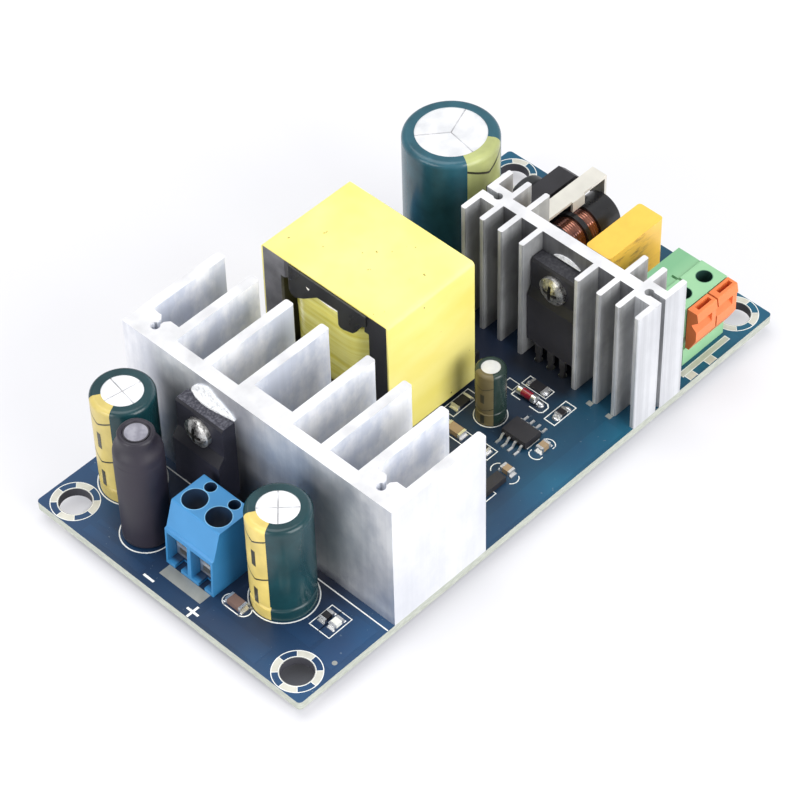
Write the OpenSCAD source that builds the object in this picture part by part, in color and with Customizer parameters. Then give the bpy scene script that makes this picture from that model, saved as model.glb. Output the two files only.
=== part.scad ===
// Open frame power supply: a mains input at one end of a board, a direct current output at the
// other, and between them a line filter, a transformer, two extruded heatsinks and the capacitors.
// Millimetres. The origin is the centre of the board's underside. X runs from the output end to
// the input end, Y across the board and Z up.

/* [Board] */
// Length of the board
board_length = 107; // [106:0.5:110]
// Width of the board
board_width = 57; // [57:0.5:60]
// Thickness of the board
board_thickness = 1.6; // [1.2:0.1:2]
// Radius of the board's corners
board_corner = 0.7; // [0.4:0.1:1.2]
// Distance between the mounting holes along the board
hole_spacing_x = 99; // [98.4:0.1:99.2]
// Distance between the mounting holes across the board
hole_spacing_y = 48; // [47.6:0.1:48.2]
// Diameter of a mounting hole
hole_diameter = 5.2; // [3.2:0.1:5.4]

/* [Output heatsink] */
// Length of the output heatsink, across the board
out_sink_length = 56; // [56:0.5:57]
// Height of the output heatsink
out_sink_height = 25.3; // [24:0.1:27]
// Thickness of its back plate
out_sink_web = 2.6; // [2.4:0.1:2.8]
// Reach of its fins from the face of the back plate
out_sink_reach = 19.9; // [18:0.1:20]
// Thickness of one fin
out_sink_fin = 1.7; // [1.4:0.1:1.9]
// Distance between its fins
out_sink_pitch = 7.5; // [7.4:0.05:7.5]

/* [Input heatsink] */
// Length of the input heatsink, across the board
in_sink_length = 36.6; // [36.2:0.1:36.8]
// Height of the input heatsink
in_sink_height = 24.1; // [23:0.1:25.5]
// Thickness of its web
in_sink_web = 2.1; // [2:0.1:2.4]
// Reach of its fins on each side of the middle of the web
in_sink_reach = 5.6; // [5.2:0.1:5.8]
// Thickness of one fin
in_sink_fin = 1; // [0.8:0.05:1.1]

/* [Transformer] */
// Depth of the core, along the board
core_depth = 19; // [18.4:0.1:19.4]
// Width of the core, across the board
core_width = 26.2; // [25.8:0.1:26.4]
// Height of the two core halves together
core_height = 25.5; // [24.6:0.1:26]
// Thickness of each core back
core_back = 3.8; // [3.4:0.1:4]
// Diameter of the core's middle post
post_diameter = 12; // [11.6:0.1:12.4]
// Outer diameter of the winding
winding_diameter = 19; // [18:0.1:19.4]
// Thickness of the tape round the core
tape_thickness = 0.3; // [0.2:0.05:0.4]

/* [Capacitors] */
// Diameter of the bulk capacitor over its sleeve
bulk_diameter = 15.9; // [15:0.1:16.4]
// Height of the bulk capacitor
bulk_height = 25.4; // [24:0.1:28]
// Diameter of an output capacitor over its sleeve
out_cap_diameter = 10.2; // [9.6:0.1:10.4]
// Height of an output capacitor
out_cap_height = 20; // [19:0.1:22]
// Diameter of the bias capacitor over its sleeve
bias_cap_diameter = 5; // [4.8:0.1:5.4]
// Height of the bias capacitor
bias_cap_height = 10.9; // [10:0.1:12]
// Thickness of a capacitor's shrink sleeve
sleeve = 0.15; // [0.1:0.01:0.2]

/* [Output choke] */
// Diameter of the choke over its sleeve
choke_diameter = 7.8; // [7.4:0.1:8]
// Height of the choke above the board
choke_height = 22.6; // [21:0.1:24]
// Diameter of its ferrite rod
rod_diameter = 4; // [3.8:0.1:4.4]

/* [Semiconductors] */
// Width of a power package
package_width = 10; // [9.8:0.1:10.1]
// Height of a power package's moulding
package_height = 15.6; // [15.2:0.1:16]
// Thickness of the moulding
package_thickness = 3.9; // [3.5:0.1:4.5]
// Thickness of its upper part, under the screw
package_tab = 2.6; // [2.4:0.1:3.2]
// Height of the transistor's moulding
transistor_height = 17.2; // [16.6:0.1:17.4]
// Thickness of the transistor's moulding
transistor_thickness = 3.4; // [3.3:0.1:3.6]
// Thickness of the heat paste behind a power package
paste = 0.25; // [0.15:0.05:0.35]
// Nominal diameter of the mounting screws
screw_diameter = 3; // [2.8:0.1:3]
// Diameter of a mounting screw's head
screw_head = 5; // [4.8:0.1:5.4]

/* [Output terminal] */
// Distance between the poles of the output terminal
out_pitch = 5.08; // [5:0.02:5.1]
// Depth of the output terminal, along the board
out_term_depth = 9.4; // [9.3:0.05:9.8]
// Height of the output terminal
out_term_height = 12.4; // [12:0.1:13]
// Diameter of the wells over its clamp screws
well_diameter = 4; // [3.9:0.05:4.1]
// Travel of a wire clamp
clamp_travel = 1.2; // [0.8:0.1:1.3]

/* [Input terminal] */
// Distance between the poles of the input terminal
in_pitch = 5; // [4.98:0.01:5.04]
// Depth of the input terminal's housing, across the board
in_term_depth = 9.9; // [9.7:0.05:10]
// Height of the input terminal
in_term_height = 12.7; // [12.4:0.1:13]
// Diameter of a wire hole
wire_hole = 2.6; // [2.3:0.1:2.8]
// Travel of a release lever, in degrees
lever_travel = 8; // [5:0.5:8]

/* [Line filter and mains parts] */
// Diameter of the filter bobbin's flanges
flange_diameter = 7.4; // [7:0.1:7.6]
// Width of the steel strap over the filter
strap_width = 3.05; // [2.6:0.05:3.2]
// Length of the film capacitor
film_length = 13.1; // [12.6:0.1:13.4]
// Thickness of the film capacitor
film_thickness = 5.1; // [4.8:0.1:5.4]
// Height of the film capacitor
film_height = 12.3; // [11.6:0.1:13]
// Length of the bridge rectifier
bridge_length = 14.8; // [14:0.1:15]
// Thickness of the bridge rectifier
bridge_thickness = 3.6; // [3.4:0.1:3.7]

/* [Fits] */
// Running gap between pieces that move on each other
running = 0.1; // [0.08:0.01:0.12]
// Gap between a lead and the wall of its hole in the board
lead_gap = 0.2; // [0.15:0.05:0.25]
// Gap between pieces that are only put together
seat = 0.05; // [0.03:0.01:0.08]

/* [Hidden] */
$fn = 48;

// Top of the board, where everything stands
top = board_thickness;
// Depth of the trimmed leads below the board
lead_end = -2;
// Half sizes of the board
half_length = board_length / 2;
half_width = board_width / 2;

// Output heatsink: the face of its plate, its middle and where its screw channels are
out_sink_x = 19.8 - half_length;
out_sink_y = out_sink_length / 2 - half_width;
out_sink_half = out_sink_length / 2;
out_middle_gap = 9.6;
out_fins = [for (k = [0:2]) out_middle_gap / 2 + k * out_sink_pitch];
out_channel_x = out_sink_web;
out_channel_y = (out_sink_half - out_sink_fin + out_fins[2] + out_sink_fin / 2) / 2;
out_channel_r = 0.75;

// Input heatsink: its middle, its fins and the slots at its ends
in_sink_x = half_length - 28.35;
in_sink_y = 18.2 - half_width;
in_sink_half = in_sink_length / 2;
in_bay_fin = 5.7;
in_side_fin = 10.1;
in_end_fin = 13.9;
in_slot_width = 0.95;
in_slot_depth = 3.3;
in_block = 4.1;

// Transformer: its middle, its foot and the bobbin
core_x = 0.6;
core_y = 9.6;
core_z = top + 0.8;
core_waist = 14;
window_radius = 11.3;
window_width = 18.8;
bobbin_wall = 0.9;
bobbin_flange = 1.2;
rail_width = 3;
rail_reach = core_depth / 2 + tape_thickness + rail_width / 2;
pin_pitch = 3.8;
pin_count = 6;
pin_radius = 0.4;

// Places of the electrolytic capacitors and of the output choke
bulk_at = [half_length - 23.5, half_width - 8.7];
far_cap_at = [13.1 - half_length, half_width - 7.65];
near_cap_at = [12.8 - half_length, 16.05 - half_width];
bias_cap_at = [6.8, -10.25];
choke_at = [7.45 - half_length, half_width - 17];
choke_shell = 0.25;
choke_foot = 0.4;

// Power packages: each stands against its heatsink, with its screw near its top
package_lead_pitch = 2.54;
package_screw_drop = 3.5;
package_top = 20.8;
transistor_top = 20.5;
rectifier_y = out_sink_y + 8.9;
transistor_y = in_sink_y;

// Output terminal: its wire face, its clamps and its screws
out_term_x = 5.3 - half_length;
out_term_width = 2 * out_pitch;
out_term_wall = 0.55;
out_screw_x = out_term_x + 4.6;
cage_width = 4.1;
cage_front = 1.9;
cage_back = out_screw_x + 2.15 - out_term_x;
cage_wall = 0.6;
cage_floor_z = top + 0.9;
cage_height = 4.2;
bar_thickness = 0.8;
bar_width = 2.6;
bar_z = cage_floor_z + cage_height - cage_wall - bar_thickness - running;
clamp_screw_radius = 1.25;
clamp_head_radius = well_diameter / 2 - running;
clamp_head_z = cage_floor_z + cage_height + clamp_travel + 0.15;
clamp_head_height = 1.3;
clamp_thread_pitch = 0.5;
test_hole_radius = 0.95;

// Input terminal: its lever face, its poles and its levers
in_term_x = half_length - 18.5;
in_term_width = 2 * in_pitch;
in_term_y = 3.2 - half_width;
wire_row_y = in_term_y + 2.6;
lever_thickness = 2.1;
lever_gap = 0.25;
lever_width = in_pitch - 0.3;
lever_bottom = top + 4.2;
lever_top = top + in_term_height + 0.1;
lever_pivot_z = lever_bottom + 3.7;
lever_pivot_y = in_term_y - lever_gap - 0.55;
lever_pin = 0.6;

// Mains parts
film_at = [half_length - 11.45, 21.85 - half_width];
strap_left = half_length - 20.3;
strap_right = half_length - 3.7;
strap_thickness = 0.5;
strap_top = top + 12.4;
strap_lug = [2.9, 0.35, 2.1];
filter_axis_y = 3.2;
strap_y = filter_axis_y + 2.27;
filter_axis_z = top + 6.1;
filter_left = strap_left + 1;
filter_right = strap_right - 1.4;
filter_rod_radius = 1.6;
bridge_at = [half_length - 12.3, 10.05];
bridge_height = 11.4;
thermistor_at = [half_length - 11.9, 13.75];
thermistor_radius = 4.5;
thermistor_thickness = 2.8;
fuse_at = [half_length - 12.3, 16.3 - half_width];
fuse_size = [8.4, 4, 7.8];
opto_at = [0.6, core_y + core_width / 2 + tape_thickness + 2.9];
opto_size = [6.4, 4.6, 3.5];
safety_at = [16.5, half_width - 2.5];
safety_radius = 4.2;
safety_thickness = 3.4;

// Leads: lists of places, each with one radius
bulk_leads = [for (s = [-1, 1]) bulk_at + [s * 3.75, 0]];
out_cap_leads = [for (c = [far_cap_at, near_cap_at], s = [-1, 1]) c + [0, s * 2.5]];
bias_leads = [for (s = [-1, 1]) bias_cap_at + [0, s]];
choke_leads = [for (s = [-1, 1]) choke_at + [0, s * 2.55]];
pin_rows = [for (s = [-1, 1], k = [0:pin_count - 1])
    [core_x + s * rail_reach, core_y + (k - (pin_count - 1) / 2) * pin_pitch]];
sink_pin_places = concat(
    [for (s = [-1, 1]) [out_sink_x + out_channel_x, out_sink_y + s * out_channel_y]],
    [for (s = [-1, 1]) [in_sink_x, in_sink_y + s * (in_sink_half - in_slot_depth + in_slot_width / 2)]]
);
film_leads = [for (s = [-1, 1]) film_at + [s * 5, 0]];
filter_pins = [for (x = [filter_left + 1, filter_right - 1], y = [-1, 1]) [x, filter_axis_y + y * 2.5]];
bridge_leads = [for (k = [0:3]) bridge_at + [(k - 1.5) * 3.8, 0]];
thermistor_leads = [for (s = [-1, 1]) thermistor_at + [s * 2.5, 0]];
fuse_leads = [for (s = [-1, 1]) fuse_at + [s * 2.54, 0]];
safety_leads = [for (s = [-1, 1]) safety_at + [s * 2.5, 0]];
opto_pins = [for (s = [-1, 1], y = [-1.27, 1.27]) opto_at + [s * 3.81, y]];
package_leads = concat(
    [for (k = [-1:1]) [out_sink_x - paste - package_tab + 0.2, rectifier_y + k * package_lead_pitch]],
    [for (k = [-1:1]) [in_sink_x - in_sink_web / 2 - paste - transistor_thickness + 0.25,
        transistor_y + k * package_lead_pitch]]
);
out_contact_pins = [for (s = [-1, 1]) [out_term_x + out_term_depth - 1.4, s * out_pitch / 2]];
in_contact_pins = [for (k = [0, 1]) [in_term_x + (k + 0.5) * in_pitch, in_term_y + 5.2]];
wire_radius = 0.3;
thick_wire_radius = 0.4;
flat_lead = [0.8, 0.5];
flat_lead_radius = 0.5;
wire_places = concat(film_leads, thermistor_leads, fuse_leads, safety_leads, out_cap_leads, bias_leads);
thick_places = concat(bulk_leads, choke_leads, pin_rows, bridge_leads, filter_pins);
flat_places = concat(package_leads, out_contact_pins, in_contact_pins, opto_pins);

// Surface mounted chips: place, length, width and height of each
resistor_chips = [
    [5.5, -5.2, 3.2, 1.6],
    [14.4, -18.2, 2, 1.25],
    [14.1 - half_length, 8.5 - half_width, 2, 1.25]
];
upright_resistor_chips = [
    [16.05, -11.9, 1.6, 3.2],
    [0.6, -14.4, 1.25, 2]
];
capacitor_chips = [
    [7.1, -21, 2, 1.25],
    [0.4, -8.7, 1.6, 3.2],
    [-0.2, -20.2, 1.25, 2],
    [6.7 - half_length, 19.9 - half_width, 1.6, 3.2]
];
chip_size = [3.7, 4.9, 1.5];
chip_at = [6.65, -16.8];
chip_lead_pitch = 1.27;
chip_lead_reach = 1.9;
diode_at = [13.35, -12.1];
diode_length = 3.6;
diode_glass = 2;
led_at = [14.1 - half_length, 6.5 - half_width];

function at3(p, z) = [p[0], p[1], z];

// A plate with rounded corners, centred on the origin, standing on z = 0
module rounded_plate(length, width, radius, height) {
    linear_extrude(height) {
        square([length - 2 * radius, width], center = true);
        square([length, width - 2 * radius], center = true);
        for (x = [-1, 1], y = [-1, 1]) {
            translate([x * (length / 2 - radius), y * (width / 2 - radius)])
                circle(radius);
        }
    }
}

// Straight wires from a height down to the trimmed end below the board
module wires(places, radius, from) {
    for (p = places) {
        translate(at3(p, lead_end))
            cylinder(r = radius, h = from - lead_end);
    }
}

// Circuit board

module circuit_board() {
    color([0.08, 0.26, 0.47]) {
        difference() {
            rounded_plate(board_length, board_width, board_corner, board_thickness);
            for (x = [-1, 1], y = [-1, 1]) {
                translate([x * hole_spacing_x / 2, y * hole_spacing_y / 2, -1])
                    cylinder(d = hole_diameter, h = board_thickness + 2);
            }
            lead_holes(wire_places, wire_radius);
            lead_holes(thick_places, thick_wire_radius);
            lead_holes(flat_places, flat_lead_radius);
            lead_holes(sink_pin_places, out_channel_r - seat);
        }
    }
}

module lead_holes(places, radius) {
    for (p = places) {
        translate(at3(p, -1))
            cylinder(r = radius + lead_gap, h = board_thickness + 2);
    }
}

// Heatsinks

// A fin from x = from to x = to, with rounded corners at its free end
module fin(from, to, middle, thickness, tip) {
    way = to > from ? 1 : -1;
    translate([min(from, to - way * tip), middle - thickness / 2])
        square([abs(to - way * tip - from), thickness]);
    translate([min(from, to), middle - thickness / 2 + tip])
        square([abs(to - from), thickness - 2 * tip]);
    for (s = [-1, 1]) {
        translate([to - way * tip, middle + s * (thickness / 2 - tip)])
            circle(tip);
    }
}

module output_sink_profile() {
    boss = out_channel_x + 2.2;
    boss_start = out_fins[2];
    difference() {
        union() {
            translate([0, -out_sink_half])
                square([out_sink_web, out_sink_length]);
            translate([0, -out_fins[0]])
                square([out_sink_web + 1.6, 2 * out_fins[0]]);
            for (s = [-1, 1]) {
                translate([0, s > 0 ? boss_start : -out_sink_half])
                    square([boss, out_sink_half - boss_start]);
                fin(0, out_sink_reach, s * (out_sink_half - out_sink_fin / 2), out_sink_fin, 0.4);
                for (y = out_fins) {
                    fin(0, out_sink_reach, s * y, out_sink_fin, 0.4);
                }
            }
        }
        for (s = [-1, 1]) {
            translate([out_channel_x, s * out_channel_y])
                circle(out_channel_r);
            translate([out_channel_x, s * out_channel_y])
                polygon([[0, -0.35], [1.4, -0.35], [2.3, -1.1], [2.3, 1.1], [1.4, 0.35], [0, 0.35]]);
        }
    }
}

module output_heatsink() {
    color([0.86, 0.87, 0.88]) {
        difference() {
            translate([out_sink_x, out_sink_y, top])
                linear_extrude(out_sink_height)
                    output_sink_profile();
            translate([out_sink_x - 1, rectifier_y, top + package_top - package_screw_drop])
                rotate([0, 90, 0])
                    cylinder(d = screw_diameter + seat, h = out_sink_web + 2);
        }
    }
}

module input_sink_profile() {
    difference() {
        union() {
            square([in_sink_web, in_sink_length], center = true);
            for (s = [-1, 1]) {
                translate([-in_block / 2, s > 0 ? in_end_fin : -in_sink_half])
                    square([in_block, in_sink_half - in_end_fin]);
                for (w = [-1, 1]) {
                    for (y = [in_side_fin, in_end_fin, in_sink_half - in_sink_fin / 2]) {
                        fin(0, w * in_sink_reach, s * y, in_sink_fin, 0.3);
                    }
                }
                fin(0, -in_sink_reach, s * in_bay_fin, in_sink_fin, 0.3);
            }
        }
        for (s = [-1, 1]) {
            translate([0, s * (in_sink_half - in_slot_depth + in_slot_width / 2)])
                circle(out_channel_r);
            translate([-in_slot_width / 2, s > 0 ? in_sink_half - in_slot_depth + 0.4 : -in_sink_half - 1])
                square([in_slot_width, in_slot_depth + 0.6]);
        }
    }
}

module input_heatsink() {
    color([0.86, 0.87, 0.88]) {
        difference() {
            translate([in_sink_x, in_sink_y, top])
                linear_extrude(in_sink_height)
                    input_sink_profile();
            translate([in_sink_x - in_sink_reach, transistor_y, top + transistor_top - package_screw_drop])
                rotate([0, 90, 0])
                    cylinder(d = screw_diameter + seat, h = 2 * in_sink_reach);
        }
    }
}

// Tinned pins pressed into the channels at the ends of both heatsinks
module heatsink_pins() {
    color([0.75, 0.75, 0.76])
        wires(sink_pin_places, out_channel_r - seat, top + 6);
}

// Transformer

module core_outline() {
    x = core_depth / 2;
    y = core_width / 2;
    w = core_waist / 2;
    polygon([
        [-x, -y], [x, -y], [x, -8.5], [w, -6], [w, 6], [x, 8.5],
        [x, y], [-x, y], [-x, 8.5], [-w, 6], [-w, -6], [-x, -8.5]
    ]);
}

module core_legs() {
    difference() {
        square([core_depth, core_width], center = true);
        square([core_depth + 1, window_width], center = true);
        circle(window_radius);
    }
}

// One core half, standing on its back with its post and legs upwards
module core_half() {
    linear_extrude(core_back)
        core_outline();
    linear_extrude(core_height / 2)
        core_legs();
    cylinder(d = post_diameter, h = core_height / 2);
}

module transformer_core_lower() {
    color([0.2, 0.19, 0.21])
        translate([core_x, core_y, core_z])
            core_half();
}

module transformer_core_upper() {
    color([0.2, 0.19, 0.21])
        translate([core_x, core_y, core_z + core_height])
            mirror([0, 0, 1])
                core_half();
}

bobbin_bottom = core_z + core_back + seat;
bobbin_top = core_z + core_height - core_back - seat;
bobbin_radius = post_diameter / 2 + seat + bobbin_wall;

module bobbin_plate(height) {
    linear_extrude(height) {
        intersection() {
            circle(window_radius - 2 * seat);
            square([core_depth + 2 * tape_thickness, window_width - 4 * seat], center = true);
        }
    }
}

module transformer_bobbin() {
    wall_x = core_waist / 2 + seat;
    wall_depth = core_depth / 2 - wall_x;
    color([0.09, 0.09, 0.1]) {
        translate([core_x, core_y, 0]) {
            difference() {
                union() {
                    translate([0, 0, bobbin_bottom])
                        cylinder(r = bobbin_radius, h = bobbin_top - bobbin_bottom);
                    translate([0, 0, bobbin_bottom])
                        bobbin_plate(bobbin_flange);
                    translate([0, 0, bobbin_top - bobbin_flange])
                        bobbin_plate(bobbin_flange);
                    for (s = [-1, 1]) {
                        translate([s > 0 ? wall_x : -wall_x - wall_depth, -5.8, bobbin_top - bobbin_flange])
                            cube([wall_depth, 11.6, bobbin_flange + core_back - seat]);
                        translate([s > 0 ? wall_x + 1.2 : -wall_x - wall_depth, -8.6, bobbin_top - 4.2])
                            cube([wall_depth - 1.2, 3.6, 4.2]);
                        translate([s > 0 ? wall_x : -rail_reach, -5.8, core_z + seat])
                            cube([rail_reach - wall_x, 11.6, core_back + bobbin_flange]);
                        translate([s * rail_reach - rail_width / 2, -pin_pitch * pin_count / 2, top])
                            cube([rail_width, pin_pitch * pin_count, 3.2]);
                        rotate([0, 0, s > 0 ? 180 : 0])
                            bobbin_lug();
                    }
                }
                translate([0, 0, bobbin_bottom - 1])
                    cylinder(d = post_diameter + 2 * seat, h = bobbin_top - bobbin_bottom + 2);
            }
        }
    }
}

// A lug that hangs from the upper flange in front of the winding, as a stop for the wire
module bobbin_lug() {
    face = core_depth / 2 + tape_thickness;
    translate([-face, 0, bobbin_top - bobbin_flange])
        rotate([90, 0, 90])
            linear_extrude(face - winding_diameter / 2 + 0.25)
                polygon([[-5.6, 0], [-5.2, -1], [-4.4, -1.6], [-3.4, -1.6], [-2.9, -0.8], [-2.4, 0]]);
}

module transformer_winding() {
    color([0.85, 0.78, 0.2]) {
        translate([core_x, core_y, bobbin_bottom + bobbin_flange + seat]) {
            difference() {
                cylinder(d = winding_diameter, h = bobbin_top - bobbin_bottom - 2 * bobbin_flange - 2 * seat);
                translate([0, 0, -1])
                    cylinder(r = bobbin_radius + seat, h = bobbin_top - bobbin_bottom);
            }
        }
    }
}

// A band of tape over the top, both sides and the underside of the core
module transformer_tape() {
    color([0.96, 0.93, 0.45]) {
        translate([core_x - core_depth / 2, core_y, core_z + core_height / 2]) {
            rotate([90, 0, 90]) {
                difference() {
                    rounded_plate(core_width + 2 * tape_thickness, core_height + 2 * tape_thickness,
                        2.4 * tape_thickness, core_depth);
                    translate([0, 0, -1])
                        linear_extrude(core_depth + 2)
                            square([core_width, core_height], center = true);
                }
            }
        }
    }
}

module transformer_pins() {
    color([0.75, 0.75, 0.76])
        wires(pin_rows, pin_radius, top);
}

// Electrolytic capacitors

vent_depth = 0.12;

// Half section of a can, with a rolled groove near its foot
module can_section(radius, height, edge, groove) {
    difference() {
        union() {
            square([radius - edge, height]);
            square([radius, height - edge]);
            translate([radius - edge, height - edge])
                circle(edge);
        }
        translate([radius + groove, 2.4])
            circle(2 * groove);
    }
}

module capacitor_can(place, diameter, height, edge, groove, rays) {
    radius = diameter / 2 - sleeve;
    translate(at3(place, top + sleeve)) {
        difference() {
            rotate_extrude()
                can_section(radius, height - 2 * sleeve, edge, groove);
            for (a = rays) {
                translate([0, 0, height - 2 * sleeve - vent_depth])
                    rotate([0, 0, a])
                        translate([0, -0.11, 0])
                            cube([radius * 0.74, 0.22, 1]);
            }
        }
    }
}

module capacitor_sleeve(place, diameter, height, edge, groove, opening) {
    radius = diameter / 2 - sleeve;
    translate(at3(place, top)) {
        rotate_extrude() {
            difference() {
                union() {
                    square([radius - edge, height]);
                    square([radius + sleeve, height - edge - sleeve]);
                    translate([radius - edge, height - edge - sleeve])
                        circle(edge + sleeve);
                }
                translate([0, sleeve])
                    can_section(radius, height - 2 * sleeve, edge, groove);
                translate([radius + groove, 2.4 + sleeve])
                    circle(2 * groove - sleeve);
                square([opening, height + 1]);
            }
        }
    }
}

module bulk_capacitor_can() {
    color([0.85, 0.86, 0.87])
        capacitor_can(bulk_at, bulk_diameter, bulk_height, 0.9, 0.45, [20, 140, 260]);
}

module bulk_capacitor_sleeve() {
    color([0.16, 0.42, 0.47])
        capacitor_sleeve(bulk_at, bulk_diameter, bulk_height, 0.9, 0.45, bulk_diameter * 0.37);
}

module far_output_capacitor_can() {
    color([0.85, 0.86, 0.87])
        capacitor_can(far_cap_at, out_cap_diameter, out_cap_height, 0.7, 0.35, [80, 170, 260, 350]);
}

module far_output_capacitor_sleeve() {
    color([0.1, 0.28, 0.26])
        capacitor_sleeve(far_cap_at, out_cap_diameter, out_cap_height, 0.7, 0.35, out_cap_diameter * 0.32);
}

module near_output_capacitor_can() {
    color([0.85, 0.86, 0.87])
        capacitor_can(near_cap_at, out_cap_diameter, out_cap_height, 0.7, 0.35, [45, 135, 225, 315]);
}

module near_output_capacitor_sleeve() {
    color([0.1, 0.28, 0.26])
        capacitor_sleeve(near_cap_at, out_cap_diameter, out_cap_height, 0.7, 0.35, out_cap_diameter * 0.32);
}

module bias_capacitor_can() {
    color([0.85, 0.86, 0.87])
        capacitor_can(bias_cap_at, bias_cap_diameter, bias_cap_height, 0.45, 0.2, []);
}

module bias_capacitor_sleeve() {
    color([0.12, 0.22, 0.2])
        capacitor_sleeve(bias_cap_at, bias_cap_diameter, bias_cap_height, 0.45, 0.2, bias_cap_diameter * 0.31);
}

module capacitor_leads() {
    color([0.75, 0.75, 0.76]) {
        wires(bulk_leads, thick_wire_radius, top + sleeve);
        wires(out_cap_leads, wire_radius, top + sleeve);
        wires(bias_leads, wire_radius, top + sleeve);
    }
}

// Output choke: a ferrite rod with a winding, in a shrink sleeve that closes over both ends

winding_foot = 2.2;
winding_top = choke_height - 3.6;

module choke_rod() {
    color([0.45, 0.44, 0.48])
        translate(at3(choke_at, top + choke_foot))
            cylinder(d = rod_diameter, h = choke_height - choke_foot - 0.25);
}

module choke_winding() {
    radius = choke_diameter / 2 - choke_shell;
    color([0.7, 0.38, 0.2]) {
        translate(at3(choke_at, top + winding_foot)) {
            difference() {
                cylinder(r = radius, h = winding_top - winding_foot);
                translate([0, 0, -1])
                    cylinder(d = rod_diameter + 2 * seat, h = winding_top);
            }
        }
        for (p = choke_leads) {
            translate(at3(p, lead_end))
                cylinder(r = thick_wire_radius, h = top + winding_foot + 0.5 - lead_end);
        }
    }
}

module choke_sleeve() {
    shell = choke_diameter / 2;
    inside = shell - choke_shell;
    mouth = rod_diameter / 2 + seat;
    color([0.13, 0.12, 0.14]) {
        translate(at3(choke_at, top)) {
            rotate_extrude() {
                polygon([
                    [inside, choke_foot], [shell - 0.1, choke_foot], [shell, choke_foot + 1],
                    [shell, winding_top], [shell - 0.2, winding_top + 0.5], [mouth + 1.2, choke_height - 2.1],
                    [mouth + 0.95, choke_height - 1.2], [mouth + 0.9, choke_height - 0.3],
                    [mouth + 0.5, choke_height], [mouth, choke_height - 0.2],
                    [mouth, winding_top + seat], [inside, winding_top + seat]
                ]);
            }
        }
    }
}

// Power packages, moulded all round, screwed to their heatsinks

// Side view of the moulding, with its back on x = 0 and its top on y = 0
module package_section(height, thickness) {
    polygon([
        [0, 0], [-package_tab + 0.3, 0], [-package_tab, -0.4], [-package_tab, -5.8],
        [-thickness, -7.4], [-thickness + 0.15, -height], [0, -height]
    ]);
}

module power_package(back_x, y, z, height, thickness) {
    translate([back_x - paste, y, z]) {
        difference() {
            translate([0, package_width / 2, 0])
                rotate([90, 0, 0])
                    linear_extrude(package_width)
                        package_section(height, thickness);
            translate([1, 0, -package_screw_drop])
                rotate([0, -90, 0])
                    cylinder(d = screw_diameter + 0.4, h = package_thickness + 2);
        }
    }
}

// Leads with a wide upper part, from the foot of the moulding down through the board
module package_leads(places, foot) {
    for (p = places) {
        translate([p[0] - flat_lead[1] / 2, p[1] - flat_lead[0] / 2, lead_end])
            cube([flat_lead[1], flat_lead[0], foot - lead_end]);
        translate([p[0] - flat_lead[1] / 2, p[1] - 0.62, foot - 2])
            cube([flat_lead[1], 1.24, 2]);
    }
}

// Paste behind a package, with an outline squeezed out above it: drop below its top, place across
module paste_patch(face_x, y, z, outline) {
    translate([face_x - paste, y, z]) {
        rotate([0, 90, 0]) {
            difference() {
                linear_extrude(paste) {
                    polygon(outline);
                    translate([0.5, -package_width / 2 + 0.4])
                        square([package_height - 1, package_width - 0.8]);
                }
                translate([package_screw_drop, 0, -1])
                    cylinder(d = screw_diameter + 0.4, h = paste + 2);
            }
        }
    }
}

// A pan head screw pointing along X, with a cross recess; its head bears on x = 0
module pan_screw(length) {
    head = 1.5;
    dome = 3.3;
    rotate([0, 90, 0]) {
        difference() {
            union() {
                cylinder(d = screw_diameter - 0.05, h = length);
                rotate_extrude() {
                    intersection() {
                        translate([0, -head])
                            square([screw_head / 2, head]);
                        translate([0, dome])
                            circle(dome + head);
                    }
                }
            }
            for (a = [0, 90]) {
                translate([0, 0, -head - 0.2])
                    rotate([0, 0, a])
                        translate([-1.45, -0.3, 0])
                            cube([2.9, 0.6, 1.1]);
            }
        }
    }
}

rectifier_z = top + package_top;
transistor_z = top + transistor_top;
transistor_face = in_sink_x - in_sink_web / 2;

module rectifier_body() {
    color([0.1, 0.1, 0.11])
        power_package(out_sink_x, rectifier_y, rectifier_z, package_height, package_thickness);
}

module rectifier_leads() {
    color([0.75, 0.75, 0.76])
        package_leads([for (k = [0:2]) package_leads[k]], rectifier_z - package_height);
}

module rectifier_paste() {
    color([0.93, 0.93, 0.93]) {
        paste_patch(out_sink_x, rectifier_y, rectifier_z, [
            [0.6, -4.5], [-0.1, -4.9], [-1, -3.9], [-1.7, -2.4], [-2.3, -0.9], [-3.1, 0.1], [-3.2, 1],
            [-2.7, 2.1], [-2.1, 3.1], [-1.2, 3.9], [-0.3, 4.3], [0.6, 4.3]
        ]);
        translate([out_sink_x - paste, rectifier_y, rectifier_z])
            linear_extrude(0.4)
                polygon([
                    [0.1, -4.6], [0, -4.6], [-0.35, -2.6], [-0.7, -0.4], [-0.75, 1.3], [-0.45, 3], [0, 4.1],
                    [0.1, 4.1]
                ]);
    }
}

module rectifier_screw() {
    color([0.8, 0.8, 0.8])
        translate([out_sink_x - paste - package_tab, rectifier_y, rectifier_z - package_screw_drop])
            pan_screw(package_tab + paste + out_sink_web + 1.6);
}

module transistor_body() {
    color([0.1, 0.1, 0.11])
        power_package(transistor_face, transistor_y, transistor_z, transistor_height, transistor_thickness);
}

module transistor_leads() {
    color([0.75, 0.75, 0.76])
        package_leads([for (k = [3:5]) package_leads[k]], transistor_z - transistor_height);
}

module transistor_paste() {
    color([0.93, 0.93, 0.93])
        paste_patch(transistor_face, transistor_y, transistor_z,
            [for (a = [-40:8:40]) [2.9 - 4.2 * cos(a), 4.2 * sin(a)]]);
}

module transistor_screw() {
    color([0.8, 0.8, 0.8])
        translate([transistor_face - paste - package_tab, transistor_y, transistor_z - package_screw_drop])
            pan_screw(package_tab + paste + in_sink_web + 1.4);
}

// Output terminal: a moulded housing, and in each pole a screw that lifts a wire clamp

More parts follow.
